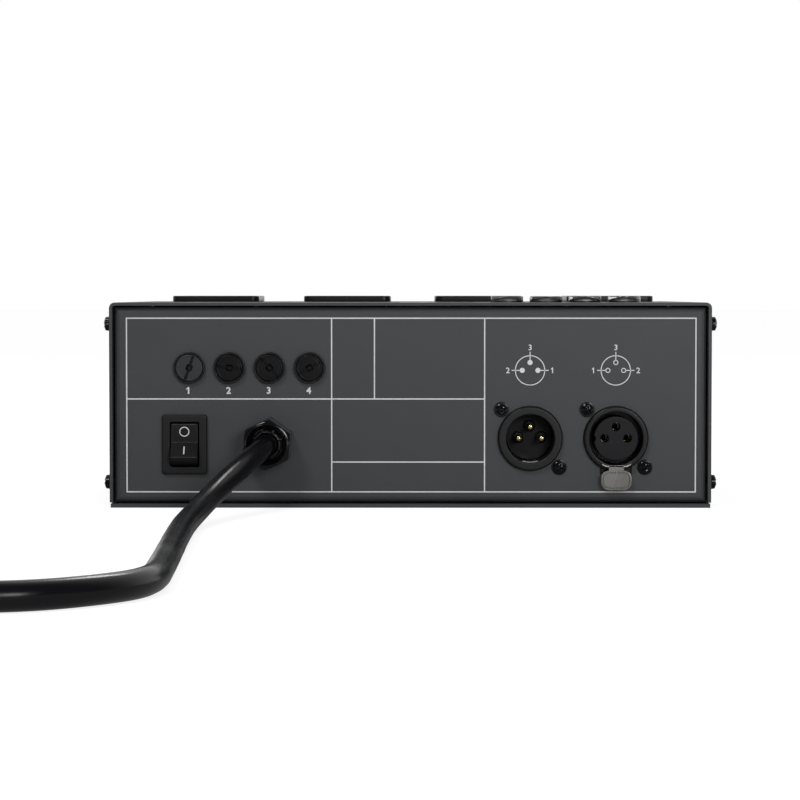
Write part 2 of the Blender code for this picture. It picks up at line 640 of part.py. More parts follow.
def slits_joined(slits):
    """Crossing slits as one closed body."""
    first = made("slit", slits[0][0].copy(), MATT, slits[0][1], tools)
    others = [made("slit", mesh.copy(), MATT, matrix, tools) for mesh, matrix in slits[1:]]
    for other in others:
        boolean(first, other, "UNION")
    bpy.context.view_layer.update()
    graph = bpy.context.evaluated_depsgraph_get()
    mesh = bpy.data.meshes.new_from_object(first.evaluated_get(graph))
    mesh.transform(first.matrix_world)
    for other in [first, *others]:
        bpy.data.objects.remove(other, do_unlink=True)
    return mesh


# Data sockets


def socket_shell(kind, inner):
    """The round shell through the panel and its flange behind it, open in front to the given diameter."""
    x, z = socket_places[kind]
    ring, front = SOCKET_RING / 2, SOCKET_PROUD
    lip = 0.0006
    shell = made(
        f"xlr_{kind}_shell",
        turned([(0, front), (ring - lip, front), (ring, front - lip), (ring, -PANEL_WALL),
                (ring * 0.93, -0.004), (ring * 0.93, -SOCKET_BACK), (0, -SOCKET_BACK)], 28),
        BLACK, on_rear(x, z))
    wide, tall, thick = SOCKET_FLANGE
    fuse(shell, block((wide, tall, thick), 0.002, steps=1),
         on_rear(x, z) @ at(0, 0, -PANEL_WALL - GAP - thick / 2))
    own = [(rod(SCREW_SHANK / 2 + HOLE, -0.006, 0.001), on_rear(*place))
           for place in socket_screws if abs(place[0] - x) < wide]
    bottom = front - SOCKET_CUP_DEPTH
    turned_mouth = turned([(0, front + 0.001), (inner / 2 + lip, front + 0.001), (inner / 2 + lip, front),
                           (inner / 2, front - lip), (inner / 2, bottom), (0, bottom)], 28)
    cut(shell, joined(own))
    cut(shell, turned_mouth, on_rear(x, z))
    return shell, bottom


def socket_in():
    """The input: a deep cup, and an insert in it that carries three pins."""
    x, z = socket_places["in"]
    _, bottom = socket_shell("in", SOCKET_CUP)
    key = made("xlr_in_insert", rod(SOCKET_CUP / 2 - GAP, bottom + GAP, bottom + 0.0028, 28), BLACK, on_rear(x, z))
    spots = [(-PIN_CIRCLE, 0), (PIN_CIRCLE, 0), (0, PIN_CIRCLE)]
    pin = rod(PIN_DIAMETER / 2, bottom + 0.001, SOCKET_PROUD - 0.002, 12, chamfer=0.0006)
    fuse(key, joined([(pin, at(*spot, 0)) for spot in spots]), on_rear(x, z))


def latch_slot(deep):
    """What is cut out under the output for its latch, as deep as asked in front of and behind the panel's face."""
    x, z = socket_places["out"]
    wide, thick = LATCH_PLATE
    high = LATCH_Z + thick / 2 + 2 * GAP
    low = -SOCKET_RING / 2 - LATCH_PLAY
    return block((wide + 4 * GAP, high - low, 2 * deep)), on_rear(x, z) @ at(0, (high + low) / 2, 0)


def socket_out():
    """The output: a ring-shaped groove round an insert with three holes, and a latch under it."""
    x, z = socket_places["out"]
    shell, bottom = socket_shell("out", SOCKET_GROOVE)
    wide, thick = LATCH_PLATE
    cut(shell, *latch_slot(LATCH_INSIDE + 2 * GAP))
    face = SOCKET_PROUD - 0.0012
    insert = made(
        "xlr_out_insert",
        turned([(0, face), (SOCKET_FACE / 2 - 0.0004, face), (SOCKET_FACE / 2, face - 0.0004),
                (SOCKET_FACE / 2, bottom + GAP), (0, bottom + GAP)], 28),
        MATT, on_rear(x, z))
    spots = [(-PIN_CIRCLE, 0), (PIN_CIRCLE, 0), (0, PIN_CIRCLE)]
    holes = [(rod(PIN_HOLE / 2, face - 0.010, face + 0.001), at(*spot, 0)) for spot in spots]
    cut(insert, joined(holes), on_rear(x, z))

    front = LATCH_REACH
    latch = made(
        "xlr_out_latch",
        block((wide, thick, front + LATCH_INSIDE - GAP)), NICKEL,
        on_rear(x, z) @ at(0, LATCH_Z, (front - LATCH_INSIDE + GAP) / 2))
    tab_low, tab_high = LATCH_TAB_Z
    neck_top = LATCH_Z
    neck = block((LATCH_NECK, neck_top - tab_high + 0.002, thick * 1.2))
    fuse(latch, neck, on_rear(x, z) @ at(0, (neck_top + tab_high) / 2 - 0.001, front - thick * 0.6))
    tab = block((LATCH_TAB, tab_high - tab_low, thick * 1.4), 0.0030, steps=2)
    fuse(latch, tab, on_rear(x, z) @ at(0, (tab_high + tab_low) / 2, front - thick * 0.6))


def socket_screw_set():
    head = pan_head(SOCKET_SCREW_HEAD / 2, 0.0016 + GAP, 0.0055)
    names = [f"xlr_{kind}_screw_{i}" for kind in ("in", "out") for i in (1, 2)]
    for name, place in zip(names, socket_screws):
        made(name, head.copy(), MATT, on_rear(*place))


# Top: outlets, display and buttons


def outlet(number, place):
    """A three-slot mains outlet: a plate on the cover, and a body below it that holds the contacts."""
    wide, long, thick = OUTLET_PLATE
    plate = made(f"outlet_{number}", block((wide, long, thick - GAP), OUTLET_CORNER, 0.0006, steps=2), BLACK,
                 at(*place) @ at(0, 0, (thick + GAP) / 2))
    deep = OUTLET_BODY[2]
    fuse(plate, block((*OUTLET_BODY[:2], deep), 0.0018, steps=1), at(*place) @ at(0, 0, 2 * GAP - deep / 2))
    slot = block((SLOT_WIDE, SLOT_LONG, 2 * SLOT_DEEP))
    slots = [
        (slot, at(SLOT_ACROSS, -SLOT_UP, 0) @ turn(-30, "Z")),
        (slot, at(-SLOT_ACROSS, -SLOT_UP, 0) @ turn(30, "Z")),
        (slot, at(0, SLOT_EARTH, 0)),
    ]
    cut(plate, joined(slots), at(*place) @ at(0, 0, thick))


def button(name, place):
    """A round cap through the cover, with a rim below that keeps it in and a stem that works the switch."""
    radius, hold = BUTTON_DIAMETER / 2, BUTTON_DIAMETER / 2 + BUTTON_FLANGE
    rim_top = -COVER_WALL - GAP
    stem = CONTROL_BOARD_Z + BOARD + KEY_SWITCH[2] - HEIGHT
    top = BUTTON_PROUD
    profile = [(0, top), (radius * 0.72, top * 0.97), (radius - 0.0004, top * 0.80), (radius, top * 0.50),
               (radius, rim_top), (hold, rim_top), (hold, rim_top - BUTTON_FLANGE),
               (BUTTON_STEM / 2, rim_top - BUTTON_FLANGE), (BUTTON_STEM / 2, stem), (0, stem)]
    made(f"button_{name}", turned(profile, 16), SILVER, at(*place))


def control_board():
    """The board under the cover, with its posts, its chip, and a little switch with a well under each button."""
    deck = CONTROL_BOARD_Z
    top = deck + BOARD
    board = made("control_board", block((*CONTROL_BOARD, BOARD)), GREEN,
                 at(CONTROL_BOARD_X, BUTTON_Y, deck + BOARD / 2))
    bite = BOARD / 2
    hang = rod(POST / 2, top - bite, CEILING - GAP, 6)
    across, tall, foot = KEY_SWITCH
    body = block((across, across, tall + bite))
    added = [(hang, at(x, y, 0)) for x, y in control_posts]
    added += [(body, at(x, y, top + (tall - bite) / 2)) for x, y, _ in button_places]
    chip = block((*CHIP[:2], CHIP[2] + bite))
    added.append((chip, at(CONTROL_BOARD_X, BUTTON_Y, deck - (CHIP[2] - bite) / 2)))
    fuse(board, joined(added))
    low = top + foot - BUTTON_TRAVEL - GAP
    wells = [(rod(BUTTON_STEM / 2 + GAP * 1.2, low, low + 0.01, 12), at(x, y, 0)) for x, y, _ in button_places]
    cut(board, joined(wells))


def display():
    """Three figures behind a window that lies flush in the cover."""
    pane = block((DISPLAY[0] - 2 * GAP, DISPLAY[1] - 2 * GAP, PANE))
    made("display_window", pane, SMOKE, at(DISPLAY_X, BUTTON_Y, HEIGHT - PANE / 2))
    low = CONTROL_BOARD_Z + BOARD + GAP
    high = HEIGHT - PANE - GAP
    made("display_module", block((DISPLAY[0] * 0.76, DISPLAY[1] * 0.92, high - low)), MATT,
         at(DISPLAY_X, BUTTON_Y, (high + low) / 2))


# Inside


def on_board(x, y, rise=0.0):
    """A place on the main board's top, from the board's middle."""
    return at(MAIN_BOARD_X + x, MAIN_BOARD_Y + y, MAIN_TOP + rise)


def main_board():
    """The power board on its posts, with what is soldered to it: chokes, couplers, capacitors and terminals."""
    board = made("main_board", block((*MAIN_BOARD, BOARD)), GREEN,
                 at(MAIN_BOARD_X, MAIN_BOARD_Y, MAIN_BOARD_Z + BOARD / 2))
    bite = BOARD / 2
    stand = rod(POST / 2, BASE_WALL + GAP, MAIN_BOARD_Z + bite, 6)
    outer, inner, thick = CHOKE
    ring = tube(outer, inner, -thick / 2, thick / 2, 12)
    coupler = block((*COUPLER[:2], COUPLER[2] + bite))
    can = rod(CAPACITOR[0], -bite, CAPACITOR[1], 12)
    terminals = block((*TERMINALS[:2], TERMINALS[2] + bite))
    added = [(stand, at(x, y, 0)) for x, y in main_posts]
    added += [(ring, on_board(x, CHOKE_Y, outer - bite / 2) @ turn(90, "X")) for x in channels]
    added += [(coupler, on_board(x, COUPLER_Y, (COUPLER[2] - bite) / 2)) for x in channels]
    added += [(can, on_board(x, CAPACITOR_Y)) for x in CAPACITOR_X]
    added.append((terminals, on_board(TERMINALS_X, TERMINALS_Y, (TERMINALS[2] - bite) / 2)))
    fuse(board, joined(added))


def power_parts():
    """The heat sink with its four triacs, and the transformer."""
    wide, deep, tall = SINK
    fins, wall, foot = SINK_FINS, SINK_WALL, SINK_FOOT
    pitch = (wide - wall) / (fins - 1)
    outline = [(-wide / 2, 0), (wide / 2, 0)]
    for i in range(fins):
        right = wide / 2 - i * pitch
        outline += [(right, deep), (right - wall, deep)]
        if i < fins - 1:
            outline += [(right - wall, foot), (right - pitch, foot)]
    sink = made("heat_sink", extruded(outline, GAP, tall), ALLOY, on_board(CHANNEL_X, SINK_Y))
    slab = block(TRIAC)
    fuse(sink, joined([(slab, on_board(x, SINK_Y - TRIAC[1] * 0.4, tall / 2 - GAP)) for x in channels]))
    leg, window, stack = CORE_LEG, CORE_WINDOW, CORE_STACK
    core_high = window[1] + 1.2 * leg
    core_place = on_board(CORE_X, CORE_Y, core_high / 2 + 2 * GAP)
    core = made("transformer_core", block((2.8 * leg + window[0], stack, core_high)), STEEL, core_place)
    opening = block((window[0], 2 * stack, window[1]))
    cut(core, joined([(opening, at(side * (leg + window[0]) / 2, 0, 0)) for side in (-1, 1)]), core_place)
    outer = (leg + 2 * window[0] - 2 * GAP, stack + 2 * window[0], window[1] - 2 * GAP)
    coil = made("transformer_winding", block(outer, 0.003, steps=1), IVORY, core_place)
    cut(coil, block((leg + 2 * GAP, stack + 2 * GAP, 2 * window[1])), core_place)


# Power cord, laid in front of the pack, with its spare length in a coil


def smooth(points, spacing):
    """Points along a rounded curve through the given ones, about the given distance apart."""
    line = [Vector(p) for p in points]
    line = [2 * line[0] - line[1], *line, 2 * line[-1] - line[-2]]
    fine = []
    for a, b, c, d in zip(line, line[1:], line[2:], line[3:]):
        count = max(1, round((c - b).length / spacing))
        for i in range(count):
            t = i / count
            fine.append(0.5 * (2 * b + (c - a) * t + (2 * a - 5 * b + 4 * c - d) * t * t
                               + (3 * b - a - 3 * c + d) * t ** 3))
    return fine + [line[-2]]


def cable(name, points):
    curve = bpy.data.curves.new(name, "CURVE")
    curve.dimensions = "3D"
    curve.resolution_u = 1
    curve.render_resolution_u = 0
    curve.bevel_depth = CORD / 2
    curve.bevel_resolution = CORD_SIDES
    curve.use_fill_caps = True
    spline = curve.splines.new("POLY")
    spline.points.add(len(points) - 1)
    for slot, place in zip(spline.points, points):
        slot.co = (*place, 1.0)
    curve.materials.append(RUBBER)
    obj = bpy.data.objects.new(name, curve)
    parts.objects.link(obj)


def plug_outline(wide, tall, sides=20, power=0.72):
    """A rounded, slightly squared outline."""
    points = []
    for i in range(sides):
        a = 2 * math.pi * i / sides
        c, s = math.cos(a), math.sin(a)
        points.append((math.copysign(abs(c) ** power, c) * wide / 2, math.copysign(abs(s) ** power, s) * tall / 2))
    return points


def loft(sections):
    """A closed skin over outlines of as many points each, given with their heights, lowest first."""
    bm = bmesh.new()
    rings = [[bm.verts.new((x, y, z)) for x, y in outline] for outline, z in sections]
    count = len(rings[0])
    for low, high in zip(rings, rings[1:]):
        for i in range(count):
            j = (i + 1) % count
            bm.faces.new((low[i], low[j], high[j], high[i]))
    bm.faces.new(reversed(rings[0]))
    bm.faces.new(rings[-1])
    return finished(bm)


def power_cord():
    route = [(GLAND_X + across, PANEL_Y - out, up) for across, out, up in CORD_ROUTE]
    cable("power_cord", smooth(route, CORD * 1.2))
    half = COIL_TURNS * CORD / 2
    outer, inner = COIL_RADIUS + half, COIL_RADIUS - half
    low = TIE[1] + 0.0002 + GAP
    high = low + CORD * (1 + math.sqrt(0.75))
    ring = turned([(inner, high), (outer, high), (outer, low), (inner, low)], 28, ring=True)
    made("power_cord_coil", ring, RUBBER, at(COIL_X, COIL_Y, 0))
    wide, thick = TIE
    near = math.sqrt(inner ** 2 - (wide / 2) ** 2) * math.cos(math.pi / 28) - 2 * GAP
    far = outer + GAP
    top, floor = high + GAP, 0.0001
    band = made("cord_tie", block((wide, far - near + 2 * thick, top + thick - floor)), MATT,
                at(COIL_X, COIL_Y + (near + far) / 2, (top + thick + floor) / 2))
    cut(band, block((2 * wide, far - near, top - floor - thick)),
        at(COIL_X, COIL_Y + (near + far) / 2, (top + floor + thick) / 2))

    leave = COIL_RADIUS + CORD / 2
    axis_x, axis_z = COIL_X - leave, PLUG[1] / 2 + 0.0002
    start = COIL_Y + math.sqrt((outer + GAP) ** 2 - (leave - CORD / 2) ** 2)
    cable("power_cord_tail", smooth([(axis_x, start, axis_z), (axis_x, start + TAIL, axis_z)], CORD * 2))
    plug = at(axis_x, start + TAIL + GAP, axis_z) @ turn(-90, "X")
    relief, neck = PLUG_RELIEF
    wide, tall, deep = PLUG
    face = relief + deep
    body = loft([
        (plug_outline(2 * neck, 2 * neck, power=1.0), 0.0),
        (plug_outline(2.5 * neck, 2.5 * neck, power=1.0), relief),
        (plug_outline(wide * 0.62, tall * 0.66, power=0.9), relief + deep * 0.22),
        (plug_outline(wide * 0.90, tall * 0.90), relief + deep * 0.58),
        (plug_outline(wide, tall), face - 0.006),
        (plug_outline(wide, tall), face - 0.0008),
        (plug_outline(wide - 0.0016, tall - 0.0016), face),
    ])
    shell = made("mains_plug", body, RUBBER, plug)
    wide_pin, thin, long = PLUG_PIN
    sunk = 0.002
    blade = block((thin, wide_pin, long + sunk))
    out = face + (long - sunk) / 2
    pins = [
        (blade, at(SLOT_ACROSS, SLOT_UP, out) @ turn(30, "Z")),
        (blade, at(-SLOT_ACROSS, SLOT_UP, out) @ turn(-30, "Z")),
        (blade, at(0, -SLOT_EARTH, out)),
    ]
    fuse(shell, joined(pins), plug)


top_cover()
base_plate()
panel("front_panel", 1)
rear_panel()
case_screws()
for index, (x, z) in enumerate(fuse_places):
    fuse_holder(index + 1, x, z)
    fuse_set(index + 1, x, z, FUSE_TILTS[index])
power_switch()
gland()
gland_locknut()
socket_in()
socket_out()
socket_screw_set()
for index, place in enumerate(outlet_places):
    outlet(index + 1, place)
for name, place in zip(BUTTONS, button_places):
    button(name, place)
control_board()
display()
main_board()
power_parts()
power_cord()
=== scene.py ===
# %% [markdown]
# # A four-channel dimmer pack, seen from its rear panel
# The real object is a low steel box that feeds four stage lamps. Mains comes in by a thick black
# lead through a cable gland, passes a rocker switch and four fuses, and leaves by four outlets on
# top. Two round data sockets tell it how bright each lamp should be. This script dresses the packed
# CAD model: it keeps the sheet metal as it is, and puts detailed pieces in place of what the eye
# rests on. All sizes are metres, the rear panel faces -Y, and the origin is the middle of the base
# plate's underside.

import json
import math

import bmesh
import bpy
import numpy as np
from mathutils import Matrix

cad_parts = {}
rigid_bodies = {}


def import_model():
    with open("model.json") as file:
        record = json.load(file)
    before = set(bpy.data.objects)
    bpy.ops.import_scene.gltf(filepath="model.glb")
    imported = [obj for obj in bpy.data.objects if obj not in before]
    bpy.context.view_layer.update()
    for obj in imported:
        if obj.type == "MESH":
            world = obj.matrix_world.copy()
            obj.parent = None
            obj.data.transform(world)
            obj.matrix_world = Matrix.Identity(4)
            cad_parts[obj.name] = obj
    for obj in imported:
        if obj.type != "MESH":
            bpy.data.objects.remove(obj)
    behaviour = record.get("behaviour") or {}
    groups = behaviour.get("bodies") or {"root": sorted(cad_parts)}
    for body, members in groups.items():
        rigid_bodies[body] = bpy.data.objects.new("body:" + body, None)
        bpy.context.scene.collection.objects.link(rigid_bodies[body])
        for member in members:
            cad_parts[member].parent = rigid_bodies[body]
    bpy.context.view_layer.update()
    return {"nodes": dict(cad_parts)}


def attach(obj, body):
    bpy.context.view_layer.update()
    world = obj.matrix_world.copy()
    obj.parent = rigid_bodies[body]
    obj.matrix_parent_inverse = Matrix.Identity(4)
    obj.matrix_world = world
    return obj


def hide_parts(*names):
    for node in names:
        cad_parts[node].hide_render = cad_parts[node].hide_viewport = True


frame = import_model()
nodes = frame["nodes"]

# %% [markdown]
# ## Sizes that the pieces share
# A maker writes the driving sizes down once. They repeat the CAD source's own values, so each new
# piece lands where its solid is. Places on the rear panel are written as (across, up), as somebody
# facing the panel sees them.

# %% Shared sizes
WIDTH, HEIGHT = 0.2330, 0.0795
PANEL_Y = -0.0790
HAIR = 0.00002  # fittings start this far off the sheet, so that no two faces lie in one plane
GAP = 0.0003  # room round a piece that turns inside another
FUSES = [(-0.0856 + 0.01553 * i, 0.0542) for i in range(4)]
SWITCH = (-0.0875, 0.0245)
GLAND = (-0.0549, 0.0252)
DATA_IN, DATA_OUT = (0.0465, 0.0268), (0.0797, 0.0268)
OUTLETS = [(0.0010 + 0.0542 * (i - 1.5), 0.0080) for i in range(4)]
BUTTON_NAMES = ("down", "up", "menu", "enter")
BUTTONS = {name: (0.0383 + 0.0155 * i, -0.0540) for i, name in enumerate(BUTTON_NAMES)}
DISPLAY = (0.0100, -0.0540)
print("fuses at", [round(x * 1000, 1) for x, _ in FUSES], "mm across")

# %% [markdown]
# ## Places
# Every small fitting is easiest to draw lying flat with its face towards the reader, as across, up
# and out. A fitting could be drawn once and its object turned into place, but then the exported
# part and any pattern on object coordinates would turn too. So a place here is a change of axes,
# worked out on whole arrays of points, and every object stays at the origin.


# %% Axes for the rear panel, the top and the sides
def spread(points):
    """The three columns of an array of points: across, up and out."""
    return np.moveaxis(np.asarray(points, float), -1, 0)


def on_rear(points, place=(0.0, 0.0)):
    """X is the place's across plus the point's, Y is the panel's face less how far the point stands
    out of it, and Z is the two heights added."""
    across, up, out = spread(points)
    return np.stack([place[0] + across, PANEL_Y - out, place[1] + up], -1)


def on_top(points, place=(0.0, 0.0), level=HEIGHT):
    """X and Y are the place's plus the point's, and Z is the level plus how far the point stands
    out."""
    across, up, out = spread(points)
    return np.stack([place[0] + across, place[1] + up, level + out], -1)


def on_side(points, side, y, z):
    """Out runs along X, away from the case on the given side, and across runs along Y, turned with
    the side."""
    across, up, out = spread(points)
    return np.stack([side * (WIDTH / 2 + out), y + side * across, z + up], -1)


def turned(points, degrees):
    """Across and up turned anticlockwise by a. The new across is across cos a - up sin a, and the
    new up is across sin a + up cos a."""
    a = math.radians(degrees)
    across, up, out = spread(points)
    c, s = math.cos(a), math.sin(a)
    return np.stack([across * c - up * s, across * s + up * c, out], -1)


def moved(points, across=0.0, up=0.0, out=0.0):
    """The same distance added to every point."""
    return np.asarray(points, float) + np.array([across, up, out])


# %% [markdown]
# ## From arrays to meshes
# A surface here is a grid of points, with a row for each step along it and a column for each step
# round it. The faces follow from the grid alone, so the same few lines make a screw, a plug and a
# cord. Points that fall on one another, as at the pole of a dome, are merged, and each closed shell
# is turned so that its faces look outwards. Modelling each fitting by hand would look much the
# same, but a formula can be read, checked and changed.


# %% Grids, shells and finished pieces
def quads(rows, columns, loop=False):
    """Faces between rows i and i + 1 and columns j and j + 1. Columns close on themselves, and rows
    do if asked."""
    i, j = np.meshgrid(np.arange(rows if loop else rows - 1), np.arange(columns), indexing="ij")
    after, right = (i + 1) % rows, (j + 1) % columns
    corners = [i * columns + j, i * columns + right, after * columns + right, after * columns + j]
    return np.stack(corners, -1).reshape(-1, 4).tolist()


def shell(grid, loop=False):
    """Points and faces of a grid whose columns close. Its two ends get flat caps, unless its rows
    close as well."""
    rows, columns = grid.shape[:2]
    faces = quads(rows, columns, loop)
    if not loop:
        faces += [list(range(columns))[::-1], list(range((rows - 1) * columns, rows * columns))]
    return grid.reshape(-1, 3), faces


def clean(points, faces):
    """A closed shell with its doubles merged, and with its faces turned round if its signed volume
    is below zero."""
    rough = bpy.data.meshes.new("rough")
    rough.from_pydata(np.asarray(points).tolist(), [], faces)
    work = bmesh.new()
    work.from_mesh(rough)
    bmesh.ops.remove_doubles(work, verts=work.verts, dist=0.000002)
    if work.calc_volume(signed=True) < 0:
        bmesh.ops.reverse_faces(work, faces=work.faces)
    work.to_mesh(rough)
    work.free()
    return rough


def put(name, shells, finish, body="case", stands_for=(), sharp=38.0):
    """One piece of several closed shells, on a body, with its finish and the CAD nodes that it
    stands for. Its faces count by area in the shading, so a broad flat face stays flat beside its
    narrow rounded edge."""
    work = bmesh.new()
    for points, faces in shells:
        rough = clean(points, faces)
        work.from_mesh(rough)
        bpy.data.meshes.remove(rough)
    mesh = bpy.data.meshes.new(name)
    work.to_mesh(mesh)
    work.free()
    mesh.shade_smooth()
    mesh.set_sharp_from_angle(angle=math.radians(sharp))
    mesh.materials.append(finish)
    piece = bpy.data.objects.new(name, mesh)
    bpy.context.scene.collection.objects.link(piece)
    shading = piece.modifiers.new("flat_faces_stay_flat", "WEIGHTED_NORMAL")
    shading.keep_sharp = True
    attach(piece, body)
    if stands_for:
        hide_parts(*stands_for)
    print(f"{name}: {len(mesh.polygons)} faces")
    return piece


# %% [markdown]
# ## Outlines and profiles
# Nothing that is moulded, pressed or turned has a perfectly sharp corner, and it is the rounded
# corner that catches the light. So outlines are written as a few corners with a radius each, and
# every corner becomes an arc.


# %% Rounded lines, turned solids and pressed plates
def rounded(corners, steps=5, closed=False):
    """A line through (x, y, radius) corners. With u and v the directions to the corner's neighbours
    and h half the angle between them, the arc runs between the points radius / tan h along u and v,
    round a middle that lies radius / sin h along the line that halves the angle."""
    corners = [np.asarray(c, float) for c in corners]
    count = len(corners)
    line = []
    for i, corner in enumerate(corners):
        place, radius = corner[:2], corner[2]
        if radius <= 0 or (not closed and i in (0, count - 1)):
            line.append(place[None])
            continue
        u = corners[i - 1][:2] - place
        v = corners[(i + 1) % count][:2] - place
        u, v = u / np.linalg.norm(u), v / np.linalg.norm(v)
        h = math.acos(float(np.clip(u @ v, -1, 1))) / 2
        middle = place + (u + v) / np.linalg.norm(u + v) * radius / math.sin(h)
        start = place + u * radius / math.tan(h) - middle
        end = place + v * radius / math.tan(h) - middle
        turn = math.pi - 2 * h
        t = np.linspace(0, 1, steps + 1)[:, None]
        line.append(middle + (np.sin((1 - t) * turn) * start + np.sin(t * turn) * end) / math.sin(turn))
    return np.concatenate(line)


def full_turn(sides):
    """The angles of even steps once round a circle."""
    return np.linspace(0, 2 * math.pi, sides, endpoint=False)


def lathe(profile, sides=48):
    """A profile of (radius, out) points carried round the out axis: (r cos a, r sin a, out)."""
    radius, out = np.asarray(profile, float)[:, :2].T
    a = full_turn(sides)
    grid = [radius[:, None] * np.cos(a), radius[:, None] * np.sin(a), np.repeat(out[:, None], sides, 1)]
    return np.stack(grid, -1)


def box_outline(wide, tall, corner, steps=5):
    """A rectangle's four corners, anticlockwise, each on an arc."""
    w, t, r = wide / 2, tall / 2, max(corner, 0.00001)
    return rounded([(w, t, r), (-w, t, r), (-w, -t, r), (w, -t, r)], steps, closed=True)


def stacked(levels):
    """A grid of outlines with as many points each, given as (outline, out) from one end of a solid
    to the other."""
    return np.stack([np.c_[outline, np.full(len(outline), float(out))] for outline, out in levels])


def quarter(edge, steps=4):
    """A quarter-round rim: at angle a it is drawn in by edge (1 - cos a), and lies edge (1 - sin a)
    short of the face."""
    a = np.linspace(0, math.pi / 2, steps + 1)
    return list(zip(edge * (1 - np.cos(a)), edge * (1 - np.sin(a))))


def plate(wide, tall, corner, low, high, edge=0.0004, steps=4):
    """A rounded rectangle from low to high, with a quarter-round rim on both faces."""
    rim = quarter(edge, steps)
    rims = [(s, high - e) for s, e in rim[::-1]] + [(s, low + e) for s, e in rim]
    return stacked([(box_outline(wide - 2 * s, tall - 2 * s, corner - s * 0.8), out)
                    for s, out in rims])


# %% [markdown]
# ## Camera
# The photograph was taken square on to the rear panel, from a little above the middle of the case
# and from far enough away that the four outlets on top show only as thin dark strips. A long lens a
# metre away gives the same flat look. The lens follows from the width of the view at the panel,
# which is 0.310 m.

# %% Camera
def facing(line):
    """The Euler angles that turn something which looks down -Z to look along the line."""
    return math.atan2(math.hypot(line[0], line[1]), -line[2]), 0.0, math.atan2(-line[0], line[1])


EYE, AIM = np.array([0.0, -1.0790, 0.0830]), np.array([-0.0040, PANEL_Y, 0.0417])
VIEW_WIDTH = 0.3102
lens = bpy.data.cameras.new("camera")
lens.sensor_width = 36.0
lens.lens = lens.sensor_width * float(np.linalg.norm(AIM - EYE)) / VIEW_WIDTH
camera = bpy.data.objects.new("camera", lens)
camera.location = EYE
camera.rotation_euler = facing(AIM - EYE)
bpy.context.scene.collection.objects.link(camera)
bpy.context.scene.camera = camera
bpy.context.scene.view_settings.view_transform = "Standard"
print("lens:", round(lens.lens, 1), "mm")

# %% [markdown]
# ## Floor and light
# The pack stood on seamless white paper under soft boxes. The floor and the world show white to the
# camera and in reflections, and light everything else at a plain level, so a colour renders about
# as it is written. Behind the photographer the room was dark, so reflections fade that way, and so
# do those of the floor close to the pack, which keeps black plastic black. The floor has a pale
# shadow, because a cut-out with none seems to float.


# %% Floor, world and lamps
def added(tree, *kinds):
    """New shader nodes of these kinds."""
    return [tree.nodes.new("ShaderNode" + kind) for kind in kinds]


def between(tree, value, low, high, start=0.3, end=0.7):
    """The value from start to end, carried to low to high, and held at those beyond."""
    ramp = tree.nodes.new("ShaderNodeMapRange")
    for socket, number in zip(("From Min", "From Max", "To Min", "To Max"), (start, end, low, high)):
        ramp.inputs[socket].default_value = number
    tree.links.new(value, ramp.inputs["Value"])
    return ramp.outputs["Result"]


def computed(tree, operation, one, other):
    """Two values joined by an operation of the Math node."""
    result = tree.nodes.new("ShaderNodeMath")
    result.operation = operation
    tree.links.new(one, result.inputs[0])
    tree.links.new(other, result.inputs[1])
    return result.outputs[0]


def shown_to_eye(tree):
    """One where a ray comes from the camera, a reflection or glass, and zero where it only carries
    light."""
    path = tree.nodes.new("ShaderNodeLightPath")
    seen = path.outputs["Is Camera Ray"]
    for kind in ("Is Glossy Ray", "Is Transmission Ray"):
        seen = computed(tree, "MAXIMUM", seen, path.outputs[kind])
    return seen


def studio_level(tree, plain, dark):
    """The world's strength: plain for rays that carry light and one for what the eye sees, but in a
    reflection it falls to the dark level towards the photographer's side, as the direction's Y goes
    from 0.5 to 0."""
    way, parts, path, level = added(tree, "TexCoord", "SeparateXYZ", "LightPath", "MapRange")
    tree.links.new(way.outputs["Generated"], parts.inputs["Vector"])
    mirrored = between(tree, parts.outputs["Y"], dark, 1.0, 0.0, 0.5)
    white = computed(tree, "MAXIMUM", path.outputs["Is Camera Ray"], mirrored)
    level.inputs["To Min"].default_value = plain
    tree.links.new(shown_to_eye(tree), level.inputs["Value"])
    tree.links.new(white, level.inputs["To Max"])
    return level.outputs["Result"]


def mirrored_near(tree, near, far):
    """One for a reflection that meets the floor nearer than near to the middle, falling to zero at
    far."""
    place, length, path = added(tree, "NewGeometry", "VectorMath", "LightPath")
    length.operation = "LENGTH"
    tree.links.new(place.outputs["Position"], length.inputs[0])
    fade = between(tree, length.outputs["Value"], 1.0, 0.0, near, far)
    return computed(tree, "MULTIPLY", path.outputs["Is Glossy Ray"], fade)


def white_floor(glow, albedo, table, pale=0.85):
    """To the eye, a matt floor plus a glow that lifts it to white, though in a reflection the part
    of it near the object is only as bright as the table's share. To other rays, a plain pale
    floor."""
    paper = bpy.data.materials.new("white_paper")
    paper.use_nodes = True
    tree = paper.node_tree
    tree.nodes.remove(tree.nodes["Principled BSDF"])
    matt, glowing, both = added(tree, "BsdfDiffuse", "Emission", "AddShader")
    tabletop, seen = added(tree, "Emission", "MixShader")
    plain, surface = added(tree, "BsdfDiffuse", "MixShader")
    matt.inputs["Color"].default_value = (albedo, albedo, albedo, 1.0)
    glowing.inputs["Strength"].default_value = glow
    tabletop.inputs["Strength"].default_value = table
    plain.inputs["Color"].default_value = (pale, pale, pale, 1.0)
    for node, into, socket in ((matt, both, 0), (glowing, both, 1), (both, seen, 1),
                               (tabletop, seen, 2), (plain, surface, 1), (seen, surface, 2)):
        tree.links.new(node.outputs[0], into.inputs[socket])
    tree.links.new(mirrored_near(tree, 0.30, 0.70), seen.inputs["Fac"])
    tree.links.new(shown_to_eye(tree), surface.inputs["Fac"])
    tree.links.new(surface.outputs[0], tree.nodes["Material Output"].inputs["Surface"])
    return paper


